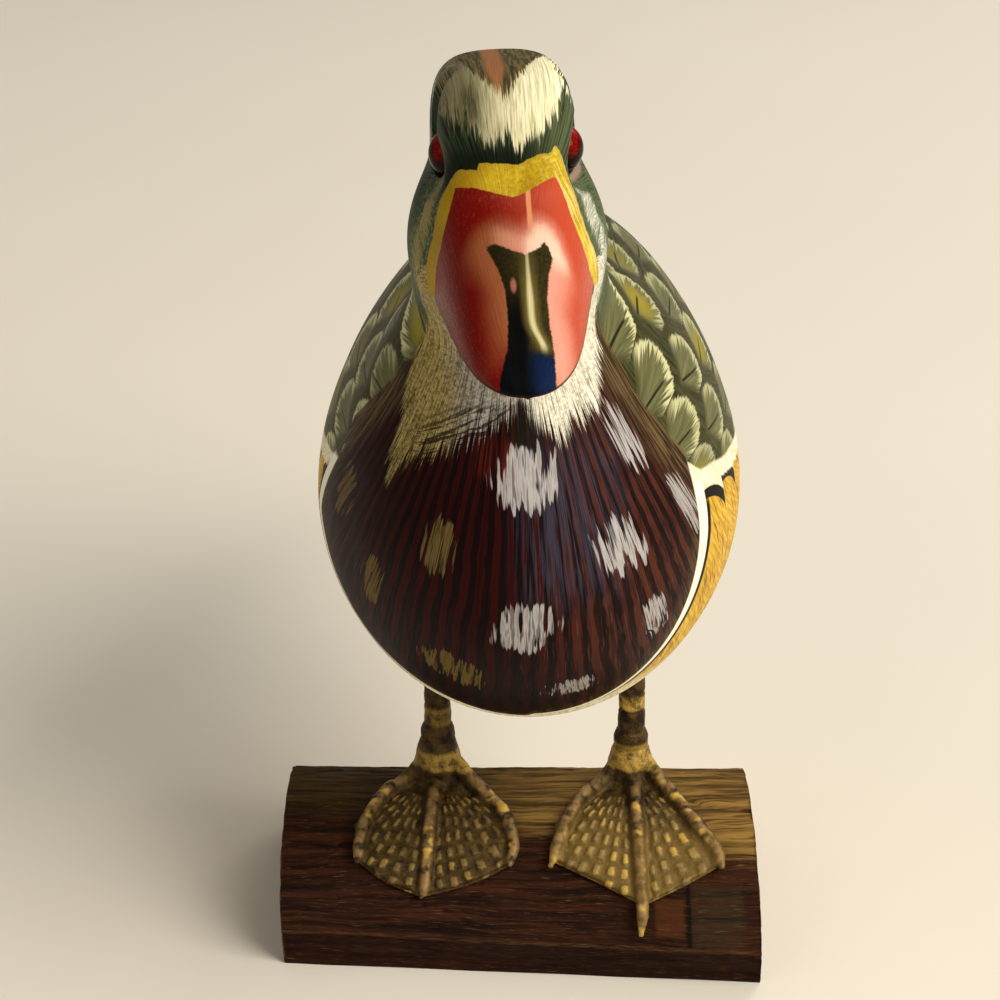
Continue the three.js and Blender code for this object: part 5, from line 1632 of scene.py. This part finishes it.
def log_relief(x, y, z, grain_depth):
    """The worn grain, cracks and splits of the log's skin. Never above the sawn log's own surface."""
    half_depth, rise = log_size(x)
    girth = np.arctan2(-y / half_depth, (z - LOG_WIDEST_HEIGHT) / rise) * LOG_GIRTH_RADIUS
    drift = lattice_noise(x * 0.03, girth * 0.05, 11) * 3
    grain = rough_noise(x * 0.035, (girth + drift) * 0.55, 21, 4)
    fine = rough_noise(x * 0.12, (girth + drift) * 1.7, 31, 3)
    depth = grain_depth * (0.55 - 0.5 * grain - 0.28 * fine)
    split = ridge(lattice_noise(x * 0.022, (girth + drift) * 0.42, 41), 0.07) * smooth_step(0, 0.5, lattice_noise(x * 0.05, girth * 0.1, 43) + 0.2)
    depth = depth + 0.5 * split
    for (start, stop), (here, slope, bend), half_width, deep in LOG_CRACKS:
        at = here + slope * (x - start) + bend * np.sin((x - start) * 0.35)
        inside = smooth_step(start - 1, start + 3, x) * smooth_step(stop + 1, stop - 2, x)
        depth = depth + deep * ridge(girth - at, half_width) * inside
    ledge = smooth_step(7.0, 9.0, z + lattice_noise(x * 0.08, x * 0.01, 51) * 0.8)
    depth = depth + (1 - ledge) * 0.35 * smooth_step(0.5, 2, z)
    return -depth * smooth_step(0.2, 1.5, z)


def make_log(grain_depth):
    rings = log_rings()
    flat = tube_points(rings)
    x, y, z = flat.T
    skewed = flat.copy()
    skewed[:, 0] -= LOG_END_SKEW * y + LOG_END_LEAN * z
    log = new_object("half_round_log", stand_to_world(skewed), tube_faces(*rings.shape[:2]))
    at_end = np.abs(x) > LOG_HALF_LENGTH - 0.01
    from_heart = np.hypot(y, z - LOG_HEART_HEIGHT)
    sawn = -0.12 * (1 + rough_noise(from_heart * 0.9 + rough_noise(y * 0.1, z * 0.1, 71), y * 0.02, 73, 2))
    saw_marks = -0.1 * (1 + lattice_noise(z * 1.1 + y * 0.12, y * 0.03, 75))
    pushed_out(log, np.where(at_end, sawn + saw_marks, log_relief(x, y, z, grain_depth)))
    half_depth, rise = log_size(x)
    girth = np.arctan2(-y / half_depth, (z - LOG_WIDEST_HEIGHT) / rise) * LOG_GIRTH_RADIUS
    store(log, "stand", flat)
    store(log, "girth", np.stack([girth, from_heart, np.where(at_end, 1.0, 0.0)], -1))
    return log


# Stage


def make_camera():
    turn, rise = np.radians(CAMERA_AZIMUTH), np.radians(CAMERA_ELEVATION)
    back = Vector((np.sin(turn) * np.cos(rise), -np.cos(turn) * np.cos(rise), np.sin(rise)))
    right = (-back).cross(Vector((0, 0, 1))).normalized()
    up = right.cross(-back)
    across = (CAMERA_MARK_PIXEL[0] - FRAME_PIXELS / 2) / CAMERA_FOCAL_PIXELS
    above = (FRAME_PIXELS / 2 - CAMERA_MARK_PIXEL[1]) / CAMERA_FOCAL_PIXELS
    place = Vector(CAMERA_MARK) - CAMERA_DISTANCE * (-back + across * right + above * up)
    lens = bpy.data.cameras.new("camera")
    lens.sensor_width = 36
    lens.lens = 36 * CAMERA_FOCAL_PIXELS / FRAME_PIXELS
    lens.clip_start, lens.clip_end = 0.05, 20
    camera = bpy.data.objects.new("camera", lens)
    bpy.context.scene.collection.objects.link(camera)
    camera.matrix_world = Matrix.Translation(place * MM) @ Matrix((right, up, back)).transposed().to_4x4()
    bpy.context.scene.camera = camera


def make_lamp(name, place, size, power, tint):
    """A soft square lamp that looks at the duck."""
    light = bpy.data.lights.new(name, "AREA")
    light.size = size
    light.energy = power
    light.color = tint
    lamp = bpy.data.objects.new(name, light)
    lamp.location = place
    lamp.rotation_mode = "QUATERNION"
    lamp.rotation_quaternion = (Vector(LAMPS_LOOK_AT) - Vector(place)).to_track_quat("-Z", "Y")
    bpy.context.scene.collection.objects.link(lamp)


def make_floor():
    corners = [(-FLOOR, -FLOOR, 0), (FLOOR, -FLOOR, 0), (FLOOR, FLOOR, 0), (-FLOOR, FLOOR, 0)]
    return new_object("floor", corners, [(0, 1, 2, 3)])


def make_lights(look):
    world = bpy.data.worlds.new("soft_room")
    world.use_nodes = True
    room = world.node_tree.nodes["Background"]
    room.inputs["Color"].default_value = ROOM_TINT
    room.inputs["Strength"].default_value = look.room_light
    bpy.context.scene.world = world
    for name, place, size, tint in LAMPS:
        make_lamp(name, place, size, getattr(look, name), tint)
    bpy.context.scene.view_settings.view_transform = "Standard"


# Sizes and colours that a user may change


class DuckLook(bpy.types.PropertyGroup):
    """The painted duck."""

    brush_relief: FloatProperty(
        name="Brush relief", description="How far brush strokes stand up", unit="LENGTH", default=0.0003, min=0
    )
    wing_step: FloatProperty(
        name="Wing step", description="Share of the carved step between wing and flank", default=1.0, min=0, max=1.2
    )
    breast_wine: colour("Breast, right side", "Burgundy of the breast", "300504")
    breast_brown: colour("Breast, left side", "Browner burgundy of the breast", "4C2418")
    breast_streak: colour("Breast streaks", "Near black streaks down the breast", "060203")
    tuft_white: colour("White tufts", "Tufts of strokes on the duck's left", "D4D0CC")
    tuft_olive: colour("Olive tufts", "Tufts of strokes on the duck's right", "8E7A38")
    # Khaki on the throat's right side is painted shade with a warm painted reflection over the cream.
    throat_shade_khaki: colour("Throat, right side", "Khaki cream of the throat patch", "B8A66A")
    throat_white: colour("Throat, left side", "White of the throat patch", "FBF5E0")
    head_dark: colour("Head, dark", "Very dark green of the brow", "070E05")
    head_green: colour("Head, green", "Brush strokes of lighter green", "3A4A32")
    ivory: colour("Forehead", "Ivory strokes down the forehead", "FBF3CC")
    crown: colour("Crown", "Pinkish brown of the crown's middle", "94603A")
    band_yellow: colour("Band", "Bright yellow band around the bill", "EED238")
    band_ochre: colour("Band, shaded", "Ochre in the yellow band", "9C7806")
    # The bill's two reds differ partly in paint and partly by painted shade on the duck's right and painted light on
    # its left.
    bill_red_in_shade: colour("Bill, right side", "Deep red of the bill", "700A03")
    bill_red_in_light: colour("Bill, left side", "Bright red of the bill", "BE4A2E")
    feather_green: colour("Feathers", "Grey green of the fan feathers", "4E5030")
    feather_olive: colour("Feathers, light", "Lighter strokes in the fan feathers", "7E7A50")
    feather_gold: colour("Feathers, middle", "Yellow green in some feathers' middles", "9C8E1E")
    feather_fringe: colour("Feather fringes", "Pale fringe of the fan feathers", "E0DCA8")
    feather_dark: colour("Between feathers", "Dark olive between the feathers", "2A2810")
    quill: colour("Quills", "Short dark quill of each feather", "15150B")
    flank_gold: colour("Flank, gold", "Golden yellow of the flank", "BE8C1A")
    flank_light: colour("Flank, light", "Lighter strokes in the gold", "E8C250")
    flank_cream: colour("Cream", "Cream of the bar, belly and wing edge", "FAF4DC")
    line_black: colour("Black lines", "Crescents and the line behind the bar", "14100A")


class EyeLook(bpy.types.PropertyGroup):
    """The glass eyes."""

    radius: FloatProperty(
        name="Radius", description="Radius of the glass ball", unit="LENGTH", default=EYE_RADIUS * MM, min=0.001
    )
    glass: colour("Glass", "Red of the glass", "6A0A05")
    glass_bright: colour("Glass, bright", "Brighter red in the glass", "8A160C")
    glass_dark: colour("Glass, dark", "Dark red low in the glass and round the pupil", "120101")
    pupil: colour("Pupil", "Pupil of the eye", "020101")


class LegLook(bpy.types.PropertyGroup):
    """The cast legs and feet."""

    scale_height: FloatProperty(
        name="Scale height", description="Height of the scales on the webs", unit="LENGTH", default=0.00042, min=0
    )
    bronze: colour("Bronze", "Base colour of the casting", "55401C")
    bronze_dark: colour("Bronze, dark", "Dark of the hollows", "20160A")
    scale_tan: colour("Scales, tan", "Tops of the scales", "978052")
    gold: colour("Gold", "Gold brushed on scales, knuckles and bands", "C9A54E")


class LogLook(bpy.types.PropertyGroup):
    """The half-round log."""

    grain_depth: FloatProperty(
        name="Grain depth", description="Depth of the worn grain", unit="LENGTH", default=0.00055, min=0
    )
    top_tan: colour("Top", "Olive tan where the top is worn", "96743A")
    top_dark: colour("Top, dark", "Darker grain of the top", "4A3516")
    stain: colour("Front", "Reddish brown stain", "402010")
    stain_dark: colour("Front, dark", "Darker grain of the front", "180A04")


class StageLook(bpy.types.PropertyGroup):
    """Floor and lights."""

    key: FloatProperty(name="Key lamp", description="Power of the main lamp", subtype="POWER", default=38, min=0)
    fill: FloatProperty(name="Fill lamp", description="Power of the weak lamp", subtype="POWER", default=3.6, min=0)
    rim: FloatProperty(name="Rim lamp", description="Power of the lamp behind", subtype="POWER", default=8, min=0)
    room_light: FloatProperty(name="Room light", description="Strength of the even light", default=0.23, min=0)
    floor_light: colour("Floor", "Pale floor", "EFE8DA")
    floor_dark: colour("Floor, shaded", "Faint shading in the floor", "E9E1D2")


# Operators


class BuildStage(bpy.types.Operator):
    """Make the floor, the soft lights and the camera"""

    bl_idname = "carved_duck.stage"
    bl_label = "Stage"

    def execute(self, context):
        look = context.scene.duck_stage
        make_camera()
        floor = make_floor()
        floor.data.materials.append(floor_coat(look).material)
        make_lights(look)
        return {"FINISHED"}


class BuildDuck(bpy.types.Operator):
    """Carve and paint the duck's body, head and bill"""

    bl_idname = "carved_duck.duck"
    bl_label = "Painted duck"

    def execute(self, context):
        look = context.scene.duck_paint
        finish_piece(make_duck(look), duck_coat(look).material, "duck")
        return {"FINISHED"}


class BuildEyes(bpy.types.Operator):
    """Set both glass eyes in their sockets"""

    bl_idname = "carved_duck.eyes"
    bl_label = "Glass eyes"

    def execute(self, context):
        look = context.scene.duck_eyes
        for side, node in ((1, "eye_left"), (-1, "eye_right")):
            eye = make_eye(side, look.radius / MM)
            finish_piece(eye, eye_coat(node, look).material, node)
        return {"FINISHED"}


class BuildLegs(bpy.types.Operator):
    """Cast both legs with their webbed feet"""

    bl_idname = "carved_duck.legs"
    bl_label = "Cast legs"

    def execute(self, context):
        look = context.scene.duck_legs
        for foot in FEET:
            leg = make_leg(foot, look.scale_height / MM)
            finish_piece(leg, leg_coat(foot, look).material, foot["name"])
        return {"FINISHED"}


class BuildLog(bpy.types.Operator):
    """Make the half-round log that the feet stand on"""

    bl_idname = "carved_duck.log"
    bl_label = "Log base"

    def execute(self, context):
        look = context.scene.duck_log
        finish_piece(make_log(look.grain_depth / MM), log_coat(look).material, "log_base")
        return {"FINISHED"}


LOOKS = [
    ("duck_paint", DuckLook, BuildDuck),
    ("duck_eyes", EyeLook, BuildEyes),
    ("duck_legs", LegLook, BuildLegs),
    ("duck_log", LogLook, BuildLog),
    ("duck_stage", StageLook, BuildStage),
]


class CarvedDuckPanel(bpy.types.Panel):
    """Lists the pieces of the carved duck"""

    bl_idname = "VIEW3D_PT_carved_duck"
    bl_label = "Carved duck"
    bl_space_type = "VIEW_3D"
    bl_region_type = "UI"
    bl_category = "Carved duck"

    def draw(self, context):
        for name, group, operator in LOOKS:
            box = self.layout.box()
            box.operator(operator.bl_idname)
            for prop in group.__annotations__:
                box.prop(getattr(context.scene, name), prop)


def register():
    for name, group, operator in LOOKS:
        bpy.utils.register_class(group)
        bpy.utils.register_class(operator)
        setattr(bpy.types.Scene, name, PointerProperty(type=group))
    bpy.utils.register_class(CarvedDuckPanel)


def unregister():
    bpy.utils.unregister_class(CarvedDuckPanel)
    for name, group, operator in reversed(LOOKS):
        delattr(bpy.types.Scene, name)
        bpy.utils.unregister_class(operator)
        bpy.utils.unregister_class(group)


def main():
    register()
    bpy.ops.carved_duck.stage()
    bpy.ops.carved_duck.duck()
    bpy.ops.carved_duck.eyes()
    bpy.ops.carved_duck.legs()
    bpy.ops.carved_duck.log()


if __name__ == "__main__":
    main()
